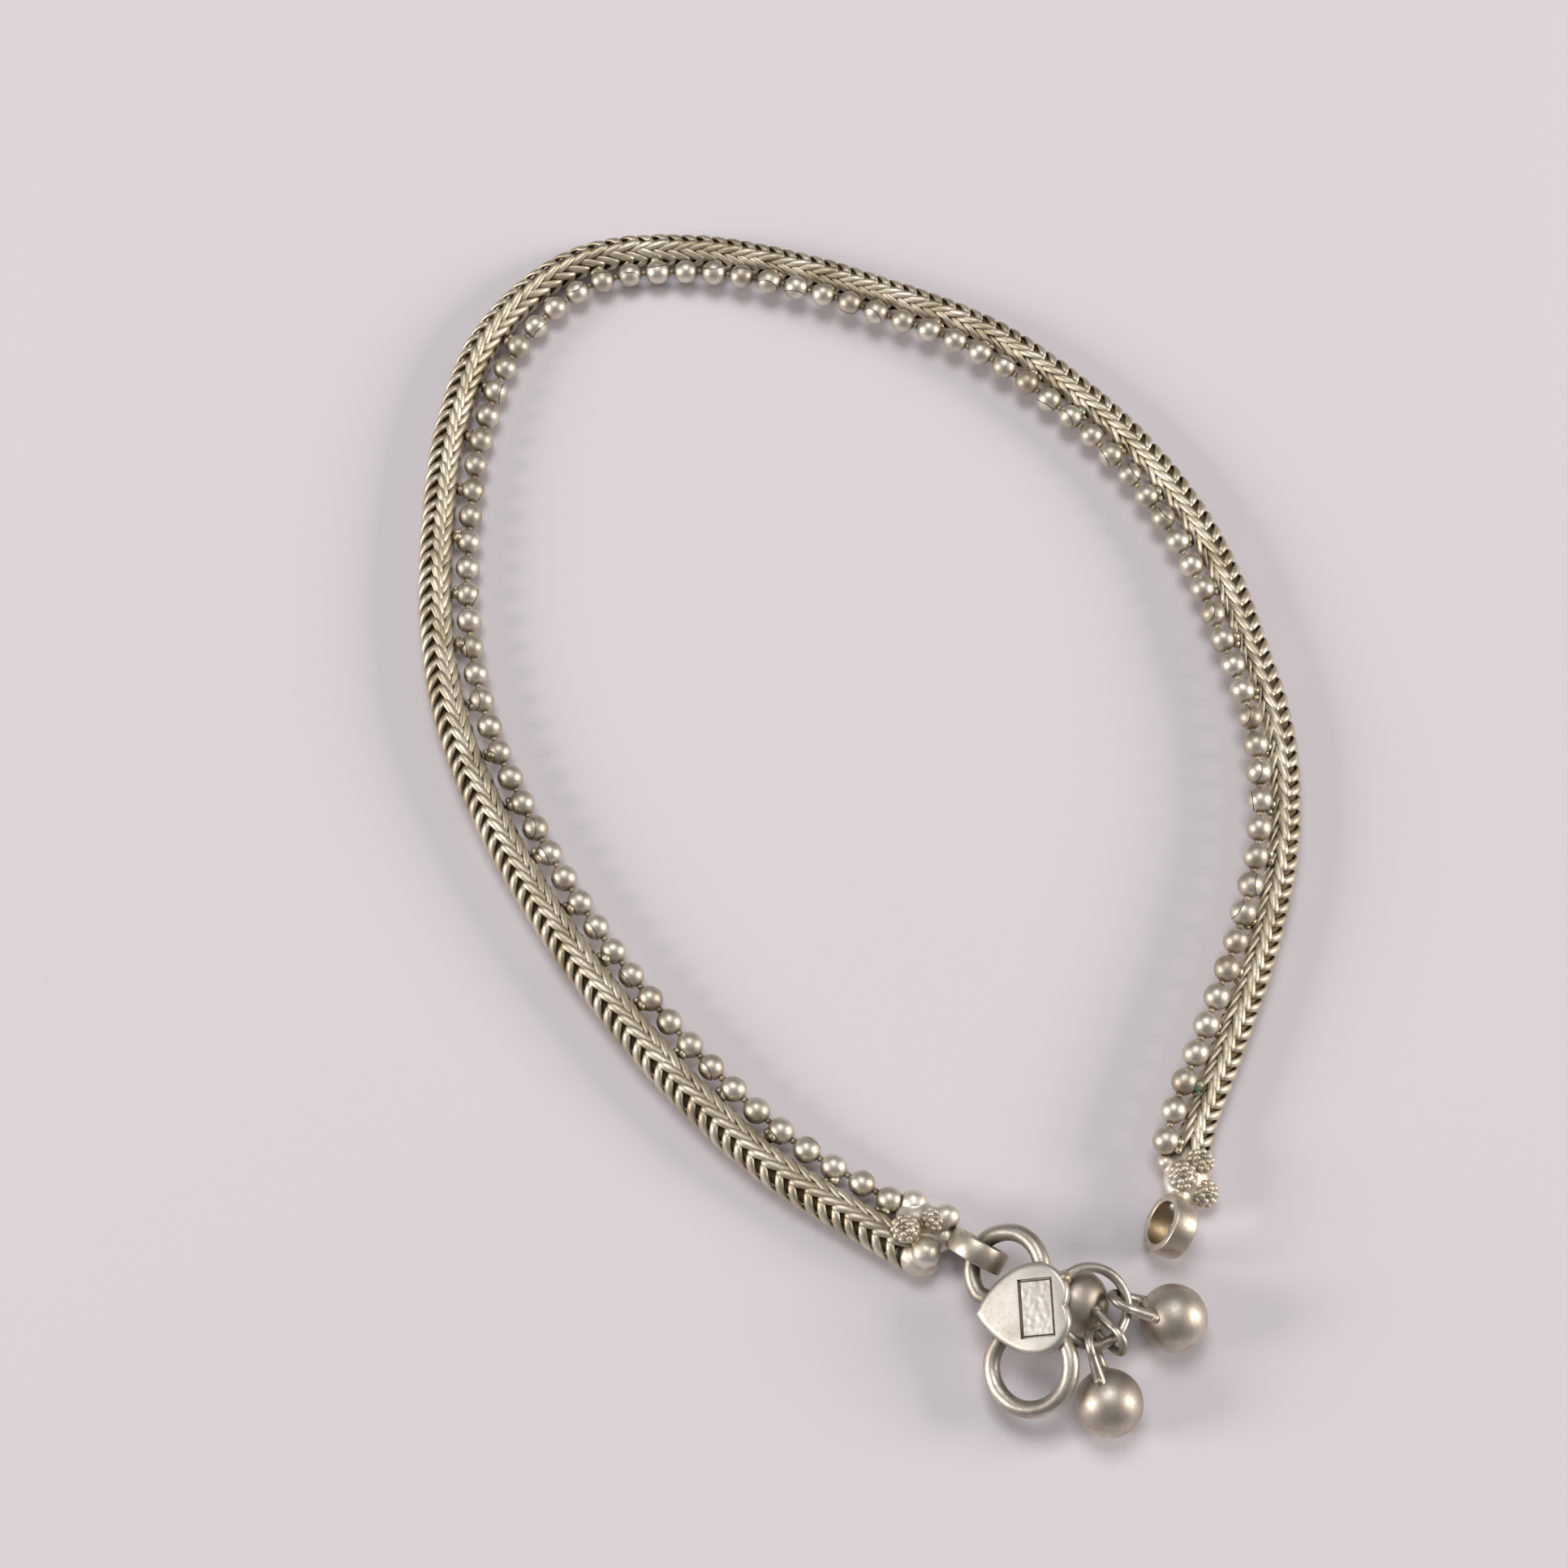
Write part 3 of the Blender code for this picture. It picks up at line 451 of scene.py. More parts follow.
def aged_silver(name, bright, dull, tarnish, roughness, grime_reach, dents, worn_attribute=None):
    """Silver alloy, hand worked and long worn: a warm satin metal, bright where it rubs on skin,
    with brown tarnish that stays in every recess and a grey film in patches between."""
    material, tree, shader, place = new_finish(name)
    shader.inputs["Metallic"].default_value = 1.0
    # Film patches about 3 mm across and fine wear marks about 0.3 mm apart
    patches = add(tree, "ShaderNodeTexNoise", {"Vector": place, "Scale": 330.0, "Detail": 3.0})
    fine = {"Vector": place, "Scale": 3300.0, "Detail": 4.0, "Roughness": 0.65}
    marks = add(tree, "ShaderNodeTexNoise", fine)
    film = add(tree, "ShaderNodeMapRange", {"Value": patches, "From Min": 0.35, "From Max": 0.7})
    base = add(tree, "ShaderNodeMix", {0: film, 6: colour(bright), 7: colour(dull)}, data_type="RGBA")
    hollow = add(tree, "ShaderNodeAmbientOcclusion", {"Distance": grime_reach * MM}, samples=6).outputs["AO"]
    recess = {"Value": hollow, "From Min": 0.25, "From Max": 0.85, "To Min": 1.0, "To Max": 0.0}
    grime = add(tree, "ShaderNodeMapRange", recess)
    if worn_attribute:
        worn = add(tree, "ShaderNodeAttribute", attribute_name=worn_attribute).outputs["Fac"]
        valley = {"Value": worn, "From Min": 0.15, "From Max": 0.75, "To Min": 1.0, "To Max": 0.0}
        low = add(tree, "ShaderNodeMapRange", valley)
        grime = add(tree, "ShaderNodeMath", {0: grime, 1: low}, operation="MAXIMUM")
    # The tarnish line is broken up by the wear marks
    broken = add(tree, "ShaderNodeMath", {0: marks, 1: 0.5}, operation="SUBTRACT")
    edge = add(tree, "ShaderNodeMath", {0: broken, 1: 0.9, 2: grime}, operation="MULTIPLY_ADD")
    edge.use_clamp = True
    layers = {0: edge, 6: base.outputs[2], 7: colour(tarnish)}
    stained = add(tree, "ShaderNodeMix", layers, data_type="RGBA")
    tree.links.new(stained.outputs[2], shader.inputs["Base Color"])
    span = {"Value": patches, "To Min": roughness - 0.07, "To Max": roughness + 0.12}
    gloss = add(tree, "ShaderNodeMapRange", span)
    dulled = add(tree, "ShaderNodeMath", {0: edge, 1: 0.3, 2: gloss}, operation="MULTIPLY_ADD")
    tree.links.new(dulled.outputs[0], shader.inputs["Roughness"])
    relief = add(tree, "ShaderNodeBump", {"Height": marks, "Strength": 0.35, "Distance": dents * MM})
    tree.links.new(relief.outputs["Normal"], shader.inputs["Normal"])
    return material


def dirty_inside(name, deep, pale):
    """Where nothing rubs, in open seams and between woven wires: brown sulphide and dirt in spots."""
    material, tree, shader, place = new_finish(name)
    shader.inputs["Metallic"].default_value = 0.6
    shader.inputs["Roughness"].default_value = 0.7
    spots = add(tree, "ShaderNodeTexNoise", {"Vector": place, "Scale": 1500.0, "Detail": 2.0})
    shade = add(tree, "ShaderNodeMix", {0: spots, 6: colour(deep), 7: colour(pale)}, data_type="RGBA")
    tree.links.new(shade.outputs[2], shader.inputs["Base Color"])
    return material


def solder_finish(name):
    """Hard solder: lumpy pale silver with brown flux stain and green copper salts."""
    material = aged_silver(name, "#E2D8C2", "#A89A80", "#5C4A30", roughness=0.42, grime_reach=0.5, dents=0.05)
    tree = material.node_tree
    shader = tree.nodes["Principled BSDF"]
    silver = shader.inputs["Base Color"].links[0].from_socket
    place = add(tree, "ShaderNodeTexCoord").outputs["Object"]
    # Green bloom in spots about 1 mm across, on some joints only
    bloom = add(tree, "ShaderNodeTexNoise", {"Vector": place, "Scale": 420.0, "Detail": 2.0})
    where = add(tree, "ShaderNodeMapRange", {"Value": bloom, "From Min": 0.60, "From Max": 0.70})
    green = add(tree, "ShaderNodeMix", {0: where, 6: silver, 7: colour("#6F8F78")}, data_type="RGBA")
    tree.links.new(green.outputs[2], shader.inputs["Base Color"])
    metal = add(tree, "ShaderNodeMapRange", {"Value": where, "To Min": 1.0, "To Max": 0.25})
    tree.links.new(metal.outputs["Result"], shader.inputs["Metallic"])
    return material


# Course of the band, as in the solids


def smooth_through(rows, steps):
    """Points on a Catmull-Rom curve through the rows, evenly stepped between them."""
    rows = np.asarray(rows, dtype=float)
    before = 2 * rows[0] - rows[1]
    after = 2 * rows[-1] - rows[-2]
    padded = np.vstack([before, rows, after])
    points = []
    for i in range(len(rows) - 1):
        p0, p1, p2, p3 = padded[i:i + 4]
        for t in np.arange(steps) / steps:
            cubic = 2 * p1 + (p2 - p0) * t
            cubic = cubic + (2 * p0 - 5 * p1 + 4 * p2 - p3) * t**2
            cubic = cubic + (3 * p1 - p0 - 3 * p2 + p3) * t**3
            points.append(cubic / 2)
    points.append(rows[-1])
    return np.array(points)


class Band:
    """Places on the bead row and on the chain by distance along the row, from the free end."""

    def __init__(self):
        rows = [[row[key] for key in ("x", "y", "roll", "apart", "girth")] for row in BAND_ROUTE]
        self.course = smooth_through(rows, 24)
        steps = np.linalg.norm(np.diff(self.course[:, :2], axis=0), axis=1)
        scale = BAND_LENGTH / np.sum(steps)
        self.course[:, :2] *= scale
        self.reach = np.concatenate([[0.0], np.cumsum(steps)]) * scale
        self.length = BAND_LENGTH
        self.beads = round(self.length / BEAD_PITCH) + 1
        self.pitch = self.length / (self.beads - 1)

    def read(self, distance, column):
        inside = min(max(distance, 0.0), self.length)
        return float(np.interp(inside, self.reach, self.course[:, column]))

    def flat(self, distance):
        return Vector((self.read(distance, 0), self.read(distance, 1), 0.0))

    def girth(self, distance):
        return self.read(distance, 4)

    def between(self, distance):
        """How far the bead row's middle is from the chain's."""
        clear = BEAD_RADIUS + SOLDER_GAP + self.read(distance, 3) * BEAD_DIAMETER
        return CHAIN_RADIUS * self.girth(distance) + clear

    def heading(self, distance):
        half = self.pitch / 2
        inside = min(max(distance, self.pitch), self.length - self.pitch)
        if distance < half:
            inside = half
        if distance > self.length - half:
            inside = self.length - half
        return (self.flat(inside + half) - self.flat(inside - half)).normalized()

    def place(self, distance):
        """Bead centre, chain centre, heading and the direction from bead to chain."""
        spot = self.flat(distance)
        roll = math.radians(self.read(distance, 2))
        between = self.between(distance)
        heading = self.heading(distance)
        beyond = distance - min(max(distance, 0.0), self.length)
        spot = spot + heading * beyond
        outward = Vector((heading.y, -heading.x, 0.0))
        across = outward * math.cos(roll) - UP * math.sin(roll)
        chain = spot + outward * between * math.cos(roll) + UP * CHAIN_RADIUS * self.girth(distance)
        bead = chain - across * between
        return bead, chain, heading, across

    def end_frame(self, distance, direction):
        """Origin under the last bead, with the way out of the band and the way to the chain side."""
        bead, _, heading, across = self.place(distance)
        out = Vector((across.x, across.y, 0.0)).normalized()
        return Vector((bead.x, bead.y, 0.0)), heading * direction, out

    def end_spot(self, distance, direction, row, size):
        """A place by the last bead, from a row's shares of the size."""
        origin, along, out = self.end_frame(distance, direction)
        return origin + (along * row["along"] + out * row["out"] + UP * row["up"]) * size


# Mesh helpers


def loose_object(name, mesh):
    obj = bpy.data.objects.new(name, mesh)
    bpy.context.scene.collection.objects.link(obj)
    return obj


def mesh_from(name, bm):
    bmesh.ops.recalc_face_normals(bm, faces=bm.faces)
    mesh = bpy.data.meshes.new(name)
    bm.to_mesh(mesh)
    bm.free()
    return mesh


def applied(obj):
    """The object's mesh with its modifiers worked in. The object is removed."""
    graph = bpy.context.evaluated_depsgraph_get()
    mesh = bpy.data.meshes.new_from_object(
        obj.evaluated_get(graph), preserve_all_data_layers=True, depsgraph=graph
    )
    mesh.name = obj.name
    bpy.data.objects.remove(obj)
    return mesh


def wrap(bm, loops, closed=False):
    """Faces from each closed loop of points to the next, and from the last to the first where closed."""
    pairs = list(zip(loops, loops[1:]))
    if closed:
        pairs.append((loops[-1], loops[0]))
    faces = []
    for first, second in pairs:
        for k in range(len(first)):
            n = (k + 1) % len(first)
            faces.append(bm.faces.new((first[k], first[n], second[n], second[k])))
    return faces


def cap_ends(bm, loops):
    bm.faces.new(loops[0])
    bm.faces.new(loops[-1])


def cut_away(obj, tools):
    """The object's mesh with the tools' forms taken out of it. The objects are removed."""
    for tool in tools:
        cut = obj.modifiers.new(tool.name, "BOOLEAN")
        cut.operation = "DIFFERENCE"
        cut.solver = "EXACT"
        cut.object = tool
    mesh = applied(obj)
    for tool in tools:
        bpy.data.objects.remove(tool)
    return mesh


def show(name, mesh, material, node, smooth_angle=50, place=None):
    """A finished piece that stands for a node of the frame, put in its place if it has one."""
    if place:
        mesh.transform(place)
    obj = loose_object(name, mesh)
    if material:
        mesh.materials.clear()
        mesh.materials.append(material)
    mesh.shade_smooth()
    mesh.set_sharp_from_angle(angle=math.radians(smooth_angle))
    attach(obj, "root")
    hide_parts(node)


def skeleton(name, points, vectors, numbers=None):
    """Loose points that carry directions and numbers for a node tree."""
    mesh = bpy.data.meshes.new(name)
    mesh.from_pydata([tuple(point) for point in points], [], [])
    for key, values in vectors.items():
        layer = mesh.attributes.new(key, "FLOAT_VECTOR", "POINT")
        layer.data.foreach_set("vector", np.array(values, dtype=np.float32).ravel())
    for key, values in (numbers or {}).items():
        layer = mesh.attributes.new(key, "FLOAT", "POINT")
        layer.data.foreach_set("value", np.array(values, dtype=np.float32))
    return loose_object(name, mesh)


def swept(name, path, half_widths, sides=12, closed=False, wobble=0.0):
    """A wire along a path; each point has its own half width, and wobble roughens it by that share."""
    path = [Vector(point) for point in path]
    count = len(path)
    tangents = []
    for i in range(count):
        after = path[(i + 1) % count] if closed or i < count - 1 else path[i]
        before = path[i - 1] if closed or i > 0 else path[i]
        tangents.append((after - before).normalized())
    side = tangents[0].orthogonal().normalized()
    sides_along = [side]
    for i in range(1, count):
        side = (side - tangents[i] * side.dot(tangents[i])).normalized()
        sides_along.append(side)
    if closed:
        # The twist gathered over the loop is taken back evenly
        last = (side - tangents[0] * side.dot(tangents[0])).normalized()
        other = tangents[0].cross(sides_along[0])
        gathered = math.atan2(last.dot(other), last.dot(sides_along[0]))
        for i in range(count):
            turn = Matrix.Rotation(-gathered * i / count, 3, tangents[i])
            sides_along[i] = turn @ sides_along[i]
    bm = bmesh.new()
    rings = []
    for i in range(count):
        other = tangents[i].cross(sides_along[i])
        ring = []
        for k in range(sides):
            angle = 2 * math.pi * k / sides
            offset = sides_along[i] * math.cos(angle) + other * math.sin(angle)
            rough = 1 + wobble * noise.noise((path[i] + offset * half_widths[i]) / WOBBLE_SPACING)
            ring.append(bm.verts.new(path[i] + offset * half_widths[i] * rough))
        rings.append(ring)
    wrap(bm, rings, closed)
    if not closed:
        cap_ends(bm, rings)
    return mesh_from(name, bm)


def rounded_ends(path, radius):
    """The path and its half widths, drawn in to a round end on both sides."""
    path = [Vector(point) for point in path]
    first = (path[0] - path[1]).normalized()
    last = (path[-1] - path[-2]).normalized()
    # Three steps of a dome that is a little flat
    steps = [math.radians(angle) for angle in (75, 50, 25)]
    start = [path[0] + first * radius * math.sin(a) * 0.7 for a in steps]
    finish = [path[-1] + last * radius * math.sin(a) * 0.7 for a in reversed(steps)]
    widths = [radius * math.cos(a) for a in steps]
    return [*start, *path, *finish], [*widths, *[radius] * len(path), *reversed(widths)]


def ball_mesh(bm, centre, radii, turn=None, detail=3):
    """Adds a ball of triangles to a mesh in the making."""
    made = bmesh.ops.create_icosphere(bm, subdivisions=detail, radius=1.0)["verts"]
    turn = turn if turn else Matrix.Identity(4)
    place = Matrix.Translation(centre) @ turn @ Matrix.Diagonal((*radii, 1.0))
    bmesh.ops.transform(bm, matrix=place, verts=made)


def cast_together(name, mesh, voxel, smoothing):
    """Overlapping forms melted into one cast or soldered skin, a little uneven."""
    obj = loose_object(name, mesh)
    melt = obj.modifiers.new("melt", "REMESH")
    melt.mode = "VOXEL"
    melt.voxel_size = voxel
    soften = obj.modifiers.new("soften", "SMOOTH")
    soften.iterations = smoothing
    soften.factor = 0.5
    skin = applied(obj)
    pushed = []
    for spot, out in [(vert.co.copy(), vert.normal.copy()) for vert in skin.vertices]:
        pushed.extend(spot - out * CAST_UNEVENNESS * MM * (0.5 + noise.noise(spot / CAST_LUMP_SPACING)))
    skin.vertices.foreach_set("co", pushed)
    skin.update()
    return skin


# Node trees


def new_tree(name, sockets):
    """A geometry tree with its named inputs, and the sockets that give them."""
    tree = bpy.data.node_groups.new(name, "GeometryNodeTree")
    tree.interface.new_socket("Geometry", in_out="INPUT", socket_type="NodeSocketGeometry")
    for label, kind in sockets.items():
        tree.interface.new_socket(label, in_out="INPUT", socket_type="NodeSocket" + kind)
    tree.interface.new_socket("Geometry", in_out="OUTPUT", socket_type="NodeSocketGeometry")
    return tree, tree.nodes.new("NodeGroupInput").outputs


def run_tree(obj, tree, values):
    """Sets the tree's inputs on the object and returns the finished mesh."""
    modifier = obj.modifiers.new(tree.name, "NODES")
    modifier.node_group = tree
    for item in tree.interface.items_tree:
        if item.in_out == "INPUT" and item.name in values:
            modifier[item.identifier] = values[item.name]
    return applied(obj)


def facing(tree, ahead, outward):
    """Rotation that lays Z along the first direction and X as near as it can to the second."""
    first, second = [
        add(tree, "GeometryNodeInputNamedAttribute", {"Name": name}, data_type="FLOAT_VECTOR")
        for name in (ahead, outward)
    ]
    axes = {"Primary Axis": first, "Secondary Axis": second}
    return add(tree, "FunctionNodeAxesToRotation", axes, primary_axis="Z", secondary_axis="X")


def swayed(tree, rotation, angles):
    """The rotation with a further turn about its own axes."""
    spin = add(tree, "FunctionNodeEulerToRotation", {"Euler": angles})
    both = {"Rotation": rotation, "Rotate By": spin}
    return add(tree, "FunctionNodeRotateRotation", both, rotation_space="LOCAL")


def laid_out(tree, points, thing, rotation, scale):
    """The thing's mesh on each point."""
    mesh = add(tree, "GeometryNodeObjectInfo", {"Object": thing}).outputs["Geometry"]
    each = {"Points": points, "Instance": mesh, "Rotation": rotation, "Scale": scale}
    return add(tree, "GeometryNodeInstanceOnPoints", each)


def sized(tree, smallest, seed):
    """A random size up to 1 for each point."""
    span = {2: smallest, 3: 1.0, "Seed": seed}
    return add(tree, "FunctionNodeRandomValue", span, data_type="FLOAT").outputs[1]


def finish_tree(tree, geometry, material):
    real = add(tree, "GeometryNodeRealizeInstances", {"Geometry": geometry})
    painted = add(tree, "GeometryNodeSetMaterial", {"Geometry": real, "Material": material})
    out = tree.nodes.new("NodeGroupOutput")
    tree.links.new(painted.outputs[0], out.inputs[0])


# Chain


def link_tree():
    """A wire for the outer side at each point, and one for the inner side half a link ahead."""
    tree, given = new_tree("chain_links", {
        "Outer wire": "Object",
        "Inner wire": "Object",
        "Half link": "Float",
        "Looseness": "Float",
        "Seed": "Int",
        "Material": "Material",
    })
    ahead = add(tree, "GeometryNodeInputNamedAttribute", {"Name": "ahead"}, data_type="FLOAT_VECTOR")
    shift = add(tree, "ShaderNodeVectorMath", {0: ahead, "Scale": given["Half link"]}, operation="SCALE")
    halfway = add(tree, "GeometryNodeSetPosition", {"Geometry": given["Geometry"], "Offset": shift})
    loose = given["Looseness"]
    tight = add(tree, "ShaderNodeMath", {0: loose, 1: -1.0}, operation="MULTIPLY")
    girth = add(tree, "GeometryNodeInputNamedAttribute", {"Name": "girth"}, data_type="FLOAT")
    size = add(tree, "ShaderNodeCombineXYZ", {"X": girth, "Y": girth, "Z": 1.0})
    sides = add(tree, "GeometryNodeJoinGeometry")
    for label, points in (("Outer wire", given["Geometry"]), ("Inner wire", halfway)):
        reach = {2: tight, 3: loose, "Seed": given["Seed"]}
        sway = add(tree, "FunctionNodeRandomValue", reach, data_type="FLOAT").outputs[1]
        about = add(tree, "ShaderNodeCombineXYZ", {"X": sway, "Z": sway})
        laid = swayed(tree, facing(tree, "ahead", "outward"), about)
        placed = laid_out(tree, points, given[label], laid, size)
        tree.links.new(placed.outputs[0], sides.inputs[0])
    finish_tree(tree, sides, given["Material"])
    return tree


def flattened(share):
    """Pushes a circle's share outwards, so that a round section becomes a flat one with soft corners."""
    return math.copysign(abs(share)**0.75, share)


def add_petal(bm, course, edge, hand):
    """A flattened wire with closed ends: outward is X, down is Y and ahead is Z. It is mirrored by hand."""
    centres = []
    for row in course:
        angle = math.radians(edge + hand * row["round"])
        reach = row["reach"] * MM
        centres.append(Vector((reach * math.cos(angle), -reach * math.sin(angle), row["ahead"] * MM)))
    loops = []
    for i, row in enumerate(course):
        before = centres[max(i - 1, 0)]
        after = centres[min(i + 1, len(centres) - 1)]
        along = (after - before).normalized()
        raised = Vector((centres[i].x, centres[i].y, 0.0)).normalized()
        raised = (raised - along * raised.dot(along)).normalized()
        level = along.cross(raised)
        loop = []
        for k in range(PETAL_SIDES):
            turn = 2 * math.pi * k / PETAL_SIDES
            across = level * flattened(math.cos(turn)) * row["wide"] * MM
            lift = raised * flattened(math.sin(turn)) * row["thick"] * MM
            loop.append(bm.verts.new(centres[i] + across + lift))
        loops.append(loop)
    wrap(bm, loops)
    cap_ends(bm, loops)


def link_mesh(name, edge, hand):
    """What shows of one side's wire of a link: its leaf and its tooth."""
    bm = bmesh.new()
    add_petal(bm, LEAF_COURSE, edge, hand)
    add_petal(bm, TOOTH_COURSE, edge, hand)
    return mesh_from(name, bm)


def make_chain(band, material, dark):
    start = -CHAIN_PAST_FREE_END - LINK_PITCH
    longest = max(row["ahead"] for row in LEAF_COURSE) * MM
    end = band.length + CHAIN_PAST_HOOK_SIDE - longest
    count = int((end - start) / LINK_PITCH)
    points, ahead, outward, girths = [], [], [], []
    for i in range(count):
        distance = start + LINK_PITCH * i
        _, chain, heading, across = band.place(distance)
        points.append(chain)
        ahead.append(heading)
        level = Vector((across.x, across.y, 0.0)).normalized()
        inwards = math.radians(np.interp(distance / LINK_TWIST_STEP, range(len(LINK_TWIST)), LINK_TWIST))
        outward.append(level * math.cos(inwards) + UP * math.sin(inwards))
        girths.append(band.girth(distance))
    outer = loose_object("outer_wire", link_mesh("outer_wire", UPPER_EDGE, 1))
    inner = loose_object("inner_wire", link_mesh("inner_wire", INNER_EDGE, -1))
    bones = skeleton("foxtail_chain_links", points, {"ahead": ahead, "outward": outward}, {"girth": girths})
    mesh = run_tree(bones, link_tree(), {
        "Outer wire": outer,
        "Inner wire": inner,
        "Half link": LINK_PITCH / 2,
        "Looseness": LINK_LOOSENESS,
        "Seed": 7,
        "Material": material,
    })
    bpy.data.objects.remove(outer)
    bpy.data.objects.remove(inner)
    mark_worn(mesh, points)
    show("foxtail_chain_links", mesh, None, "foxtail_chain", 180)
    path, widths = rounded_ends(points, CORE_RADIUS)
    core = swept("foxtail_chain_core", path, widths, sides=8)
    show("foxtail_chain_core", core, dark, "foxtail_chain")


def mark_worn(mesh, centres):
    """How far out each point of the links stands: 0 in the valleys to 1 on the crowns."""
    middles = np.array([tuple(point) for point in centres])
    places = np.empty(len(mesh.vertices) * 3)
    mesh.vertices.foreach_get("co", places)
    places = places.reshape(-1, 3)
    worn = np.empty(len(places))
    batch = 4000
    for first in range(0, len(places), batch):
        some = places[first:first + batch]
        gaps = some[:, None, :] - middles[None, :, :]
        near = np.argmin((gaps**2).sum(axis=2), axis=1)
        ahead = np.gradient(middles, axis=0)[near]
        ahead = ahead / np.linalg.norm(ahead, axis=1)[:, None]
        away = some - middles[near]
        away = away - ahead * (away * ahead).sum(axis=1)[:, None]
        worn[first:first + batch] = np.linalg.norm(away, axis=1)
    worn = np.clip((worn - TARNISHED_TO) / (RUBBED_FROM - TARNISHED_TO), 0, 1)
    layer = mesh.attributes.new("worn", "FLOAT", "POINT")
    layer.data.foreach_set("value", worn.astype(np.float32))


# Bead row


def bead_mesh():
    """A hollow bead of two pressed halves: its seam lies round X, with a small lip and a dark slit."""
    slit_end = SEAM_ANGLE + SEAM_SLIT_ANGLE
    wall = SEAM_SLIT_ANGLE * 0.15
    rows = [(math.radians(angle), 1 + SEAM_LIP, 0.0) for angle in RINGS_BEFORE_SEAM]
    rows.append((SEAM_ANGLE, 1 + SEAM_LIP, 0.0))
    rows.append((SEAM_ANGLE + wall, 1 - SEAM_DEPTH, 1.0))
    rows.append((slit_end - wall, 1 - SEAM_DEPTH, 1.0))
    rows.append((slit_end, 1.0, 0.0))
    rows.extend((math.radians(angle), 1.0, 0.0) for angle in RINGS_AFTER_SEAM)
    bm = bmesh.new()
    slit = bm.verts.layers.float.new("slit")
    loops = []
    for angle, size, open_seam in rows:
        loop = []
        for k in range(BEAD_SIDES):
            turn = 2 * math.pi * k / BEAD_SIDES
            reach = BEAD_RADIUS * size
            spot = (
                reach * math.cos(angle),
                reach * math.sin(angle) * math.cos(turn),
                reach * math.sin(angle) * math.sin(turn) * BEAD_STRETCH,
            )
            vert = bm.verts.new(spot)
            vert[slit] = open_seam
            loop.append(vert)
        loops.append(loop)
    wrap(bm, loops)
    for loop, spot in ((loops[0], BEAD_RADIUS * (1 + SEAM_LIP)), (loops[-1], -BEAD_RADIUS)):
        pole = bm.verts.new((spot, 0.0, 0.0))
        for k in range(BEAD_SIDES):
            bm.faces.new((loop[k], loop[(k + 1) % BEAD_SIDES], pole))
    return mesh_from("bead", bm)


def neck_mesh():
    """The short wire ring between two beads, lying along Z."""
    path = [Vector((0, 0, row["height"] * MM)) for row in NECK_PROFILE]
    return swept("neck", path, [NECK_RADIUS * row["width"] for row in NECK_PROFILE], sides=10, wobble=0.2)


def tab_mesh():
    """A lump of solder that reaches from a bead, at the origin, along X to the chain."""
    bm = bmesh.new()
    for row in TAB_LUMPS:
        spot = Vector((BEAD_RADIUS * row["towards"], row["along"] * MM, row["up"] * MM))
        ball_mesh(bm, spot, [row[key] * MM for key in ("long", "wide", "tall")])
    return mesh_from("tab", bm)


def bead_tree():
    """Beads turned at random about the string, so that their seams show on all sides."""
    tree, given = new_tree("bead_row", {
        "Shape": "Object",
        "Least turn": "Float",
        "Most turn": "Float",
        "Seam tilt": "Float",
        "Uneven": "Float",
        "Seed": "Int",
        "Material": "Material",
    })
    tilt = given["Seam tilt"]
    back = add(tree, "ShaderNodeMath", {0: tilt, 1: -1.0}, operation="MULTIPLY")
    low = add(tree, "ShaderNodeCombineXYZ", {"X": back, "Y": back, "Z": given["Least turn"]})
    high = add(tree, "ShaderNodeCombineXYZ", {"X": tilt, "Y": tilt, "Z": given["Most turn"]})
    turns = {0: low, 1: high, "Seed": given["Seed"]}
    chance = add(tree, "FunctionNodeRandomValue", turns, data_type="FLOAT_VECTOR")
    laid = swayed(tree, facing(tree, "ahead", "across"), chance)
    smallest = add(tree, "ShaderNodeMath", {0: 1.0, 1: given["Uneven"]}, operation="SUBTRACT")
    size = sized(tree, smallest, given["Seed"])
    placed = laid_out(tree, given["Geometry"], given["Shape"], laid, size)
    finish_tree(tree, placed, given["Material"])
    return tree


def lump_tree():
    """Small lumps laid on points, each turned and sized a little differently and roughened."""
    tree, given = new_tree("solder_lumps", {
        "Shape": "Object",
        "Sway": "Vector",
        "Smallest": "Float",
        "Roughness depth": "Float",
        "Seed": "Int",
        "Material": "Material",
    })
    back = add(tree, "ShaderNodeVectorMath", {0: given["Sway"], "Scale": -1.0}, operation="SCALE")
    turns = {0: back, 1: given["Sway"], "Seed": given["Seed"]}
    chance = add(tree, "FunctionNodeRandomValue", turns, data_type="FLOAT_VECTOR")
    laid = swayed(tree, facing(tree, "ahead", "across"), chance)
    size = sized(tree, given["Smallest"], given["Seed"])
    placed = laid_out(tree, given["Geometry"], given["Shape"], laid, size)
    real = add(tree, "GeometryNodeRealizeInstances", {"Geometry": placed})
    # Lumps about 0.5 mm across on the skin
    skin = add(tree, "ShaderNodeTexNoise", {"Scale": 1600.0, "Detail": 1.0}).outputs["Color"]
    middle = add(tree, "ShaderNodeVectorMath", {0: skin, 1: (0.5, 0.5, 0.5)}, operation="SUBTRACT")
    depth = given["Roughness depth"]
    push = add(tree, "ShaderNodeVectorMath", {0: middle, "Scale": depth}, operation="SCALE")
    rough = add(tree, "GeometryNodeSetPosition", {"Geometry": real, "Offset": push})
    finish_tree(tree, rough, given["Material"])
    return tree


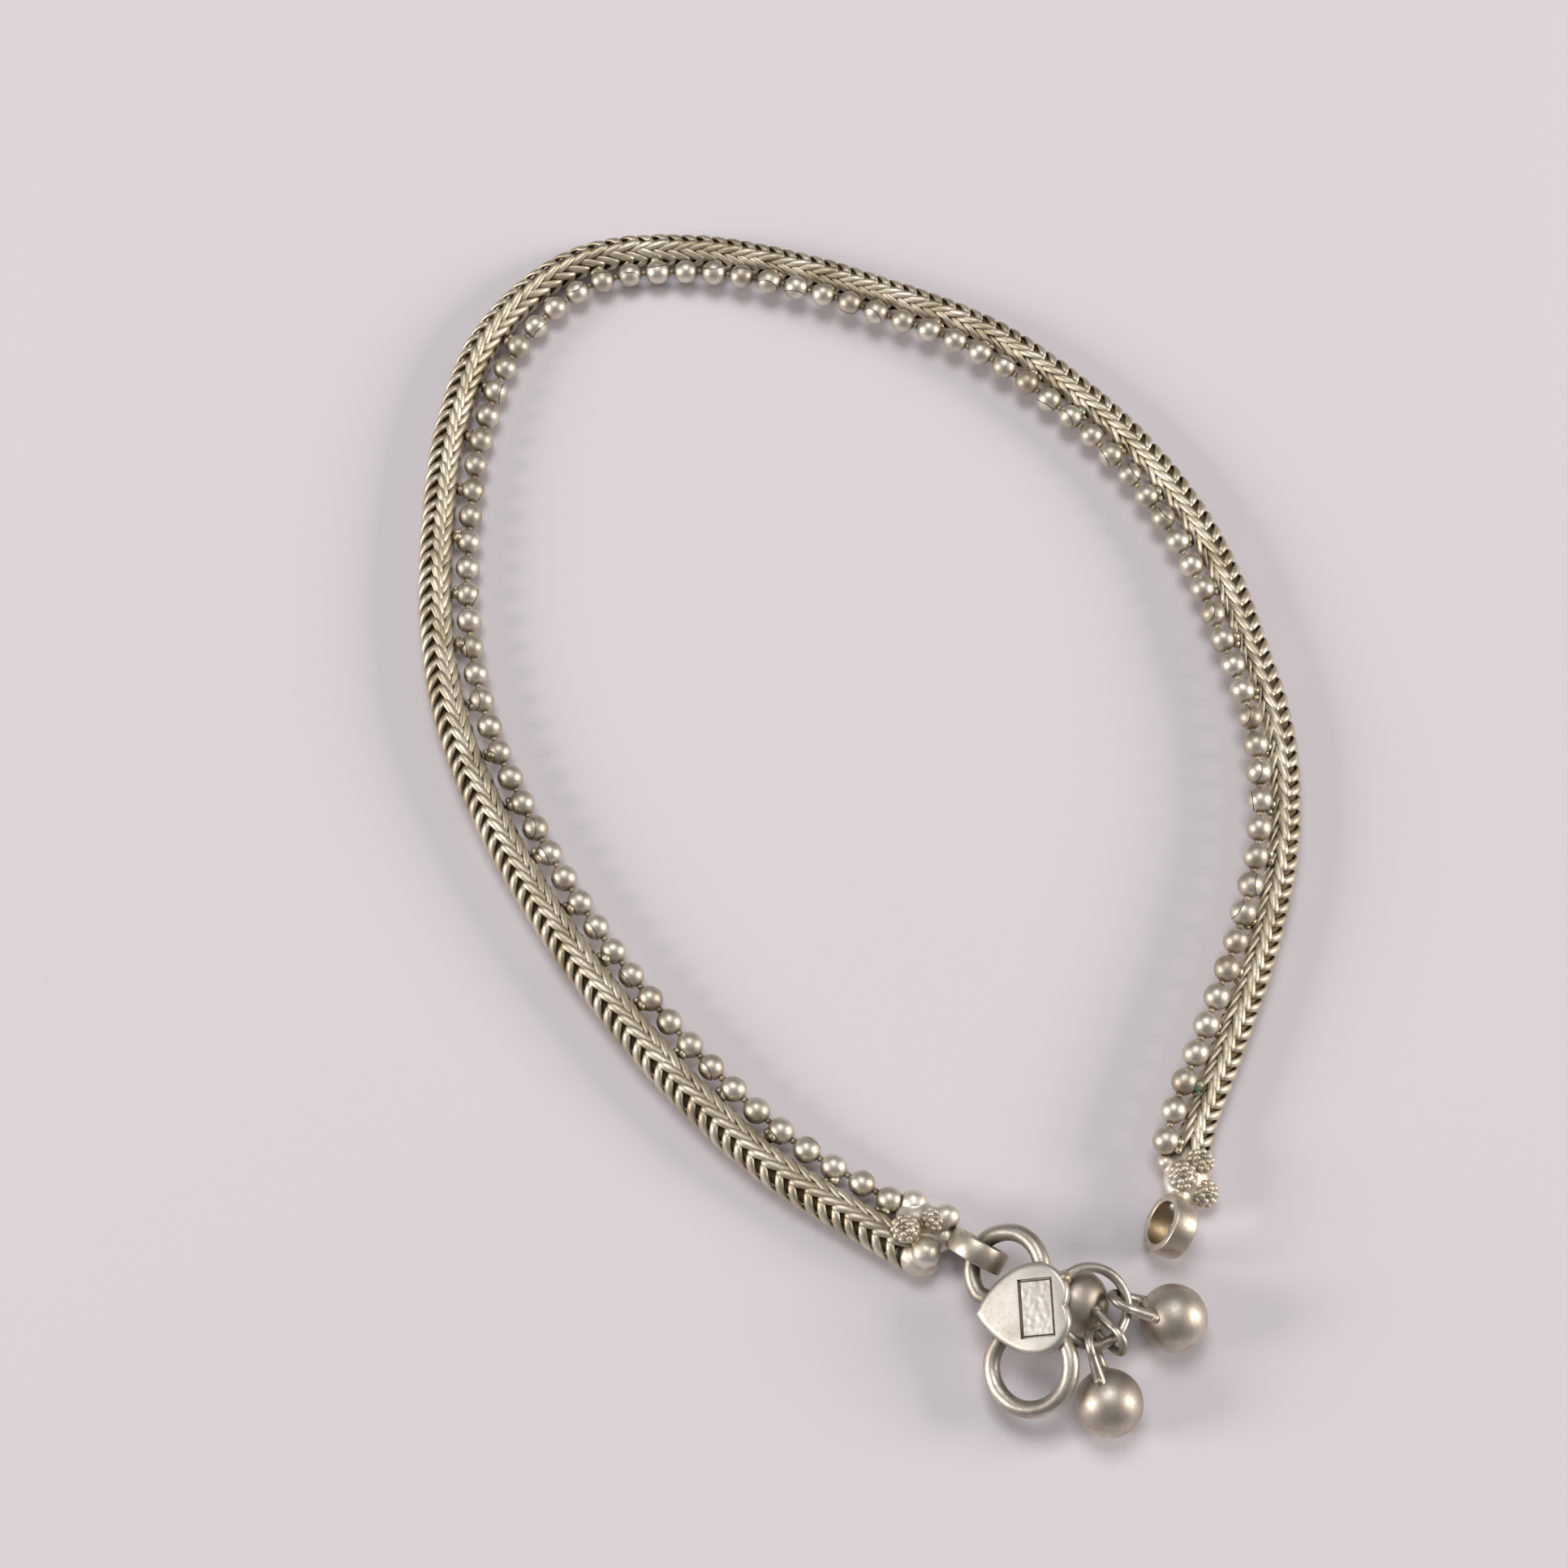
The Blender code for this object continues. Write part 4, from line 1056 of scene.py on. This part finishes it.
def laid_on_string(name, places, thing, tree, values):
    """One mesh of the shapes that the tree lays on the places."""
    source = loose_object(thing.name, thing)
    ways = {"ahead": [row[2] for row in places], "across": [row[3] for row in places]}
    bones = skeleton(name, [row[0] for row in places], ways)
    mesh = run_tree(bones, tree, {**values, "Shape": source})
    bpy.data.objects.remove(source)
    return mesh


def make_beads(band, silver, slit, brown, solder):
    places = [band.place(i * band.pitch) for i in range(band.beads)]
    mesh = laid_on_string("bead_row", places, bead_mesh(), bead_tree(), {
        "Least turn": LEAST_SEAM_TURN,
        "Most turn": MOST_SEAM_TURN,
        "Seam tilt": SEAM_TILT,
        "Uneven": BEAD_UNEVENNESS,
        "Seed": 11,
        "Material": silver,
    })
    # The floor of the open seam takes the second material
    mesh.materials.append(slit)
    marks = np.empty(len(mesh.vertices))
    mesh.attributes["slit"].data.foreach_get("value", marks)
    for face in mesh.polygons:
        if all(marks[i] > 0.5 for i in face.vertices):
            face.material_index = 1
    show("bead_row", mesh, None, "bead_string")

    lumps = lump_tree()
    halfway = [band.place((i + 0.5) * band.pitch) for i in range(band.beads - 1)]
    mesh = laid_on_string("bead_necks", halfway, neck_mesh(), lumps, {
        "Sway": (0.15, 0.15, 3.1),
        "Smallest": 0.85,
        "Roughness depth": 0.06 * MM,
        "Seed": 3,
        "Material": brown,
    })
    show("bead_necks", mesh, None, "bead_string")

    # Every second bead is soldered to the chain
    mesh = laid_on_string("bead_solder", places[0::2], tab_mesh(), lumps, {
        "Sway": (0.5, 0.35, 0.35),
        "Smallest": 0.85,
        "Roughness depth": 0.22 * MM,
        "Seed": 5,
        "Material": solder,
    })
    show("bead_solder", mesh, None, "bead_string")


# End caps


def granule_tree():
    """On each ball, rings of small granules round its top and one in the middle."""
    tree, given = new_tree("granules", {
        "In a ring": "Int",
        "Ring angle": "Float",
        "Ball radius": "Float",
        "Granule radius": "Float",
        "Material": "Material",
    })
    radius = given["Ball radius"]
    low = add(tree, "ShaderNodeMath", {0: given["Ring angle"]}, operation="SINE")
    high = add(tree, "ShaderNodeMath", {0: given["Ring angle"]}, operation="COSINE")
    ring_radius = add(tree, "ShaderNodeMath", {0: low, 1: radius}, operation="MULTIPLY")
    ring_height = add(tree, "ShaderNodeMath", {0: high, 1: radius}, operation="MULTIPLY")
    circle = add(tree, "GeometryNodeMeshCircle", {"Vertices": given["In a ring"], "Radius": ring_radius})
    top = add(tree, "GeometryNodeMeshLine", {"Count": 1})
    both = add(tree, "GeometryNodeJoinGeometry")
    for points, height in ((circle, ring_height), (top, radius)):
        lift = add(tree, "ShaderNodeCombineXYZ", {"Z": height})
        lifted = add(tree, "GeometryNodeSetPosition", {"Geometry": points, "Offset": lift})
        tree.links.new(lifted.outputs[0], both.inputs[0])
    grain = add(tree, "GeometryNodeMeshIcoSphere", {"Radius": given["Granule radius"], "Subdivisions": 2})
    rosette = add(tree, "GeometryNodeInstanceOnPoints", {"Points": both, "Instance": grain})
    size = add(tree, "GeometryNodeInputNamedAttribute", {"Name": "size"}, data_type="FLOAT")
    turned = facing(tree, "top", "side")
    each = {"Points": given["Geometry"], "Instance": rosette, "Rotation": turned, "Scale": size}
    placed = add(tree, "GeometryNodeInstanceOnPoints", each)
    finish_tree(tree, placed, given["Material"])
    return tree


def band_eye(name, centre, eye):
    """The wide eye ring: a bent strip with softened edges, a little uneven in the hand."""
    outer = EYE_DIAMETER / 2
    inner = outer - EYE_WALL
    half = EYE_WIDTH * eye["width"] / 2
    corner = EYE_EDGE * 0.35
    profile = [
        (outer, -half + EYE_EDGE),
        (outer + EYE_CROWN, 0.0),
        (outer, half - EYE_EDGE),
        (outer - corner, half - corner),
        (outer - EYE_EDGE, half),
        (inner + EYE_EDGE, half),
        (inner + corner, half - corner),
        (inner, half - EYE_EDGE),
        (inner, -half + EYE_EDGE),
        (inner + corner, -half + corner),
        (inner + EYE_EDGE, -half),
        (outer - EYE_EDGE, -half),
        (outer - corner, -half + corner),
    ]
    turn = Vector(eye["axis"]).to_track_quat("Z", "X").to_matrix().to_4x4()
    place = Matrix.Translation(centre) @ turn
    bm = bmesh.new()
    rings = []
    for i in range(EYE_STEPS):
        angle = 2 * math.pi * i / EYE_STEPS
        ring = []
        for radius, height in profile:
            spot = Vector((radius * math.cos(angle), radius * math.sin(angle), height))
            spot = spot * (1 + EYE_UNEVENNESS * noise.noise(spot / (1.1 * MM)))
            ring.append(bm.verts.new(place @ spot))
        rings.append(ring)
    for number, face in enumerate(wrap(bm, rings, closed=True)):
        # The inner side takes the second material, a darker copy that paints shade inside the ring
        face.material_index = int(number % len(profile) in EYE_INNER_SIDE)
    return mesh_from(name, bm)


def make_end_cap(node, band, distance, direction, balls, eye, silver, bright, inside):
    _, along, out = band.end_frame(distance, direction)
    turn = Matrix((along, out, UP)).transposed().to_4x4()
    middles = [band.end_spot(distance, direction, row, GRAIN_BALL_DIAMETER) for row in balls]
    core_centre = sum(middles, Vector()) / len(middles)
    core_centre.z = CORE_HEIGHT / 2 + CORE_ABOVE_TABLE
    eye_centre = band.end_spot(distance, direction, eye, EYE_DIAMETER)
    towards = (core_centre - eye_centre).normalized()
    rim = eye_centre + towards * (EYE_DIAMETER / 2 - EYE_WALL / 2)
    bm = bmesh.new()
    ball_mesh(bm, core_centre, (CORE_LENGTH / 2, CORE_WIDTH / 2, CORE_HEIGHT / 2), turn, 4)
    radius = GRAIN_BALL_DIAMETER / 2
    # Each ball, and the eye, is joined to the core by a neck of small balls
    neck = (CAP_NECK_THICKNESS / 2,) * 3
    tops, sizes = [], []
    for row, middle in zip(balls, middles):
        ball_mesh(bm, middle, (radius * row["size"],) * 3, detail=4)
        for share in (0.35, 0.7):
            ball_mesh(bm, middle.lerp(core_centre, share), neck)
        # The granules sit round a top that leans away from the core
        away = (middle - core_centre).normalized()
        tops.append((UP * 1.6 + away * 0.9).normalized())
        sizes.append(row["size"])
    if direction > 0:
        # The socket that grips the chain's end
        _, chain_end, _, _ = band.place(distance + CHAIN_PAST_HOOK_SIDE - CHAIN_SOCKET_LENGTH / 2)
        grip = CHAIN_RADIUS * CHAIN_SOCKET_SHARE
        ball_mesh(bm, chain_end, (CHAIN_SOCKET_LENGTH / 2, grip, grip), turn, 4)
    for share in (0.2, 0.4, 0.6, 0.8, 1.0):
        ball_mesh(bm, core_centre.lerp(rim, share), neck)
    cast = cast_together(node + "_casting", mesh_from(node, bm), CAST_VOXEL, 3)
    show(node + "_casting", cast, silver, node, 60)
    strip = band_eye(node + "_eye", eye_centre, eye)
    strip.materials.append(bright)
    # The eye's second material is painted shade for its inner side
    strip.materials.append(inside)
    show(node + "_eye", strip, None, node, 50)

    grains = [i for i, row in enumerate(balls) if row["granules"]]
    spots = [middles[i] for i in grains]
    ways = {"top": [tops[i] for i in grains], "side": [along] * len(grains)}
    tree = granule_tree()
    for ring in GRANULE_RINGS:
        name = f"{node}_granules_{ring['count']}"
        bones = skeleton(name, spots, ways, {"size": [sizes[i] for i in grains]})
        mesh = run_tree(bones, tree, {
            "In a ring": ring["count"],
            "Ring angle": math.radians(ring["angle"]),
            "Ball radius": radius * GRANULE_SEAT,
            "Granule radius": GRANULE_DIAMETER / 2,
            "Material": silver,
        })
        show(name, mesh, None, node, 60)


# Hook, plate and ring


def hook_middle(band):
    return band.end_spot(band.length, 1, HOOK_SIDE_EYE, EYE_DIAMETER) + HOOK_FROM_EYE


def hook_matrix(middle):
    right = Vector((math.cos(HOOK_RISE_RIGHT), 0.0, math.sin(HOOK_RISE_RIGHT)))
    back = Vector((0.0, math.cos(HOOK_RISE_BACK), math.sin(HOOK_RISE_BACK)))
    normal = right.cross(back).normalized()
    turn = Matrix((right, normal.cross(right), normal)).transposed().to_4x4()
    return Matrix.Translation(middle) @ turn


def arc(centre, radius, start, end, steps):
    angles = [math.radians(start + (end - start) * i / steps) for i in range(steps + 1)]
    return [centre + Vector((math.cos(a), math.sin(a), 0.0)) * radius for a in angles]


def hook_points():
    """The S from its end beside the plate's lobes, round the upper loop, across, and round the lower."""
    upper = arc(UPPER_LOOP_AT, UPPER_LOOP_DIAMETER / 2, *UPPER_ARC, steps=48)
    lower = arc(LOWER_LOOP_AT, LOWER_LOOP_DIAMETER / 2, *LOWER_ARC, steps=56)
    # The part of a curve over the loops' ends that lies between them
    across = smooth_through([upper[-3], upper[-1], lower[0], lower[2]], 12)[13:24]
    return [*upper, *[Vector(point) for point in across], *lower]


def plate_outline():
    rows = [(row["length"] * PLATE_LENGTH, row["side"] * PLATE_WIDTH / 2) for row in PLATE_OUTLINE]
    side = smooth_through(rows, 6)
    other = side[1:-1][::-1] * np.array([1.0, -1.0])
    start = PLATE_AT.x - PLATE_LENGTH / 2
    return [Vector((start + x, PLATE_AT.y + y, 0.0)) for x, y in np.vstack([side, other])]


def field_punch(centre):
    """A punch with a pitted face and a deeper border, which leaves a bare worn field in the plate."""
    bm = bmesh.new()
    columns, rows = 24, 38
    lines = []
    for i in range(columns + 1):
        line = []
        for j in range(rows + 1):
            spot = Vector(((i / columns - 0.5) * STAMP_LENGTH, (j / rows - 0.5) * STAMP_WIDTH, 0.0))
            to_edge = min(STAMP_LENGTH / 2 - abs(spot.x), STAMP_WIDTH / 2 - abs(spot.y))
            depth = STAMP_GROOVE_DEPTH
            if to_edge > STAMP_GROOVE:
                pits = noise.noise(spot / PIT_SPACING) + 0.6 * noise.noise(spot / FINE_PIT_SPACING)
                depth = STAMP_DEPTH + PIT_DEPTH * pits
            line.append(bm.verts.new(centre + spot - UP * depth))
        lines.append(line)
    for first, second in zip(lines, lines[1:]):
        for j in range(rows):
            bm.faces.new((first[j], first[j + 1], second[j + 1], second[j]))
    lifted = bmesh.ops.extrude_face_region(bm, geom=bm.faces[:])["geom"]
    for part in lifted:
        if isinstance(part, bmesh.types.BMVert):
            part.co += UP * STAMP_GROOVE_DEPTH * 3
    return mesh_from("punch", bm)


def heart_plate():
    """The cast heart with its rounded rim and a shallow bare field."""
    outline = plate_outline()
    middle = sum(outline, Vector()) / len(outline)
    bm = bmesh.new()
    rings = []
    for row in PLATE_RIM:
        height = Vector((0, 0, PLATE_SEAT + PLATE_THICKNESS * row["height"]))
        rings.append([bm.verts.new(middle + (point - middle) * row["size"] + height) for point in outline])
    wrap(bm, rings)
    cap_ends(bm, rings)
    plate = loose_object("heart_plate", mesh_from("heart_plate", bm))
    field = PLATE_AT + Vector((STAMP_FROM_MIDDLE, 0.0, PLATE_SEAT + PLATE_THICKNESS))
    return cut_away(plate, [loose_object("punch", field_punch(field))])


def bell_ring_frame(middle):
    centre = middle + BELL_RING_FROM_HOOK
    right = Vector((math.cos(BELL_RING_DROOP), 0.0, -math.sin(BELL_RING_DROOP)))
    back = Vector((0.0, math.cos(BELL_RING_RISE_BACK), math.sin(BELL_RING_RISE_BACK)))
    return centre, right, right.cross(back).normalized().cross(right)


def bell_ring_point(middle, degrees):
    centre, right, back = bell_ring_frame(middle)
    angle = math.radians(degrees)
    return centre + (right * math.cos(angle) + back * math.sin(angle)) * BELL_RING_DIAMETER / 2


def make_hook(middle, wire, plate, solder):
    place = hook_matrix(middle)
    path, widths = rounded_ends(hook_points(), HOOK_WIRE / 2)
    mesh = swept("s_hook_wire", path, widths, sides=16, wobble=0.06)
    show("s_hook_wire", mesh, wire, "s_hook", place=place)
    show("heart_plate", heart_plate(), plate, "s_hook", 35, place)
    ring = [bell_ring_point(middle, angle) for angle in range(0, 360, 5)]
    mesh = swept("bell_ring", ring, [BELL_RING_WIRE / 2] * len(ring), closed=True, wobble=0.08)
    show("bell_ring", mesh, wire, "s_hook")
    bm = bmesh.new()
    radius = RING_SOLDER_RADIUS
    spot = bell_ring_point(middle, RING_SOLDER_ANGLE)
    beside = spot + Vector((-0.5, -0.2, 0.25)) * MM
    ball_mesh(bm, spot + UP * radius * 0.5, (radius, radius, radius * 1.2), detail=4)
    ball_mesh(bm, beside, (radius * 0.9, radius * 0.8, radius * 0.8), detail=4)
    mesh = cast_together("ring_solder", mesh_from("ring_solder", bm), 0.1 * MM, 2)
    show("ring_solder", mesh, solder, "s_hook", 60)


# Bells


def bell_place(row, middle):
    """Where a bell lies, turned so that its own Z runs from its middle to its loop."""
    radius = BELL_DIAMETER / 2
    ring_centre, _, _ = bell_ring_frame(middle)
    across, back = [row[key] * BELL_DIAMETER for key in ("x", "y")]
    centre = Vector((ring_centre.x + across, ring_centre.y + back, radius))
    towards, rise, twist = [math.radians(row[key]) for key in ("towards", "rise", "twist")]
    axis = Vector((math.cos(towards) * math.cos(rise), math.sin(towards) * math.cos(rise), math.sin(rise)))
    level = UP.cross(axis).normalized()
    side = level * math.cos(twist) + axis.cross(level) * math.sin(twist)
    turn = Matrix((side, axis.cross(side), axis)).transposed().to_4x4()
    return Matrix.Translation(centre) @ turn


def bell_shell():
    """A hollow ball with a slit across the end away from its loop."""
    radius = BELL_DIAMETER / 2 * BELL_SKIN
    bm = bmesh.new()
    bmesh.ops.create_uvsphere(bm, u_segments=48, v_segments=32, radius=radius)
    shell = loose_object("shell", mesh_from("shell", bm))
    bm = bmesh.new()
    bmesh.ops.create_uvsphere(bm, u_segments=32, v_segments=20, radius=radius - BELL_WALL)
    hollow = loose_object("hollow", mesh_from("hollow", bm))
    bm = bmesh.new()
    bmesh.ops.create_cube(bm, size=1.0)
    depth = radius * (1 - BELL_SLIT_DEPTH_SHARE)
    middle = Vector((0, 0, -radius * BELL_SLIT_DEPTH_SHARE - depth / 2 - 0.1 * MM))
    bm.transform(Matrix.Translation(middle) @ Matrix.Diagonal((BELL_SLIT, 2.2 * radius, depth, 1.0)))
    slit = loose_object("slit", mesh_from("slit", bm))
    return cut_away(shell, [hollow, slit])


def bell_loop():
    """The bell's wire loop: a round top, and two legs that spread and thicken to their feet on the ball."""
    top = arc(Vector(), LOOP_TOP_RADIUS, -14, 194, steps=30)
    top = [Vector((point.x, 0.0, LOOP_TOP_HEIGHT + point.y)) for point in top]
    foot = Vector((LOOP_FOOT.x, 0.0, LOOP_FOOT.y))
    other = Vector((-LOOP_FOOT.x, 0.0, LOOP_FOOT.y))
    shares = [step / LOOP_LEG_STEPS for step in range(LOOP_LEG_STEPS + 1)]
    leg = [foot.lerp(top[0], share) for share in shares[:-1]]
    other_leg = [top[-1].lerp(other, share) for share in shares[1:]]
    radius = BELL_LOOP_WIRE / 2
    thick = [radius * (LOOP_FOOT_STOUTNESS + (1 - LOOP_FOOT_STOUTNESS) * share) for share in shares[:-1]]
    widths = [*thick, *[radius] * len(top), *reversed(thick)]
    return swept("bell_loop", [*leg, *top, *other_leg], widths, wobble=0.1)


def make_bell(row, middle, silver, wire, solder):
    name = row["name"]
    place = bell_place(row, middle)
    show(name + "_ball", bell_shell(), silver, name, 40, place)
    show(name + "_loop", bell_loop(), wire, name, place=place)
    bm = bmesh.new()
    foot = BELL_DIAMETER / 2 - FOOT_SUNK
    for lump in FOOT_LUMPS:
        size = lump["size"]
        spot = Vector((lump["side"] * MM, 0.0, foot + lump["up"] * MM))
        ball_mesh(bm, spot, (size * MM, FOOT_HALF_WIDTH, size * 0.75 * MM))
    mesh = cast_together(name + "_solder", mesh_from("foot_lumps", bm), FOOT_VOXEL, 2)
    show(name + "_solder", mesh, solder, name, 60, place)


def main():
    make_camera()
    make_light()
    make_table()
    band = Band()
    silver = {row["name"]: aged_silver(**row) for row in SILVERS}
    # The chain's inside between its wires, and the open seams of the beads
    chain_dark = dirty_inside("tarnished_inside", "#655339", "#978561")
    seam = dirty_inside("open_seam", "#40331F", "#6E5E45")
    solder = solder_finish("hard_solder")
    wire = silver["drawn_silver_wire"]
    make_chain(band, silver["worn_silver_wire"], chain_dark)
    make_beads(band, silver["satin_silver_sheet"], seam, silver["tarnished_neck"], solder)
    # The third finish is painted shade for the inside of the eye rings
    cap_finishes = [silver[name] for name in ("cast_silver", "rubbed_silver_strip", "tarnished_strip_inside")]
    make_end_cap("end_cap_hook_side", band, band.length, 1, HOOK_SIDE_BALLS, HOOK_SIDE_EYE, *cap_finishes)
    make_end_cap("end_cap_free", band, 0.0, -1, FREE_END_BALLS, FREE_END_EYE, *cap_finishes)
    middle = hook_middle(band)
    make_hook(middle, wire, silver["rubbed_silver_plate"], solder)
    for row in BELLS:
        make_bell(row, middle, silver["satin_silver_bell"], wire, solder)


main()
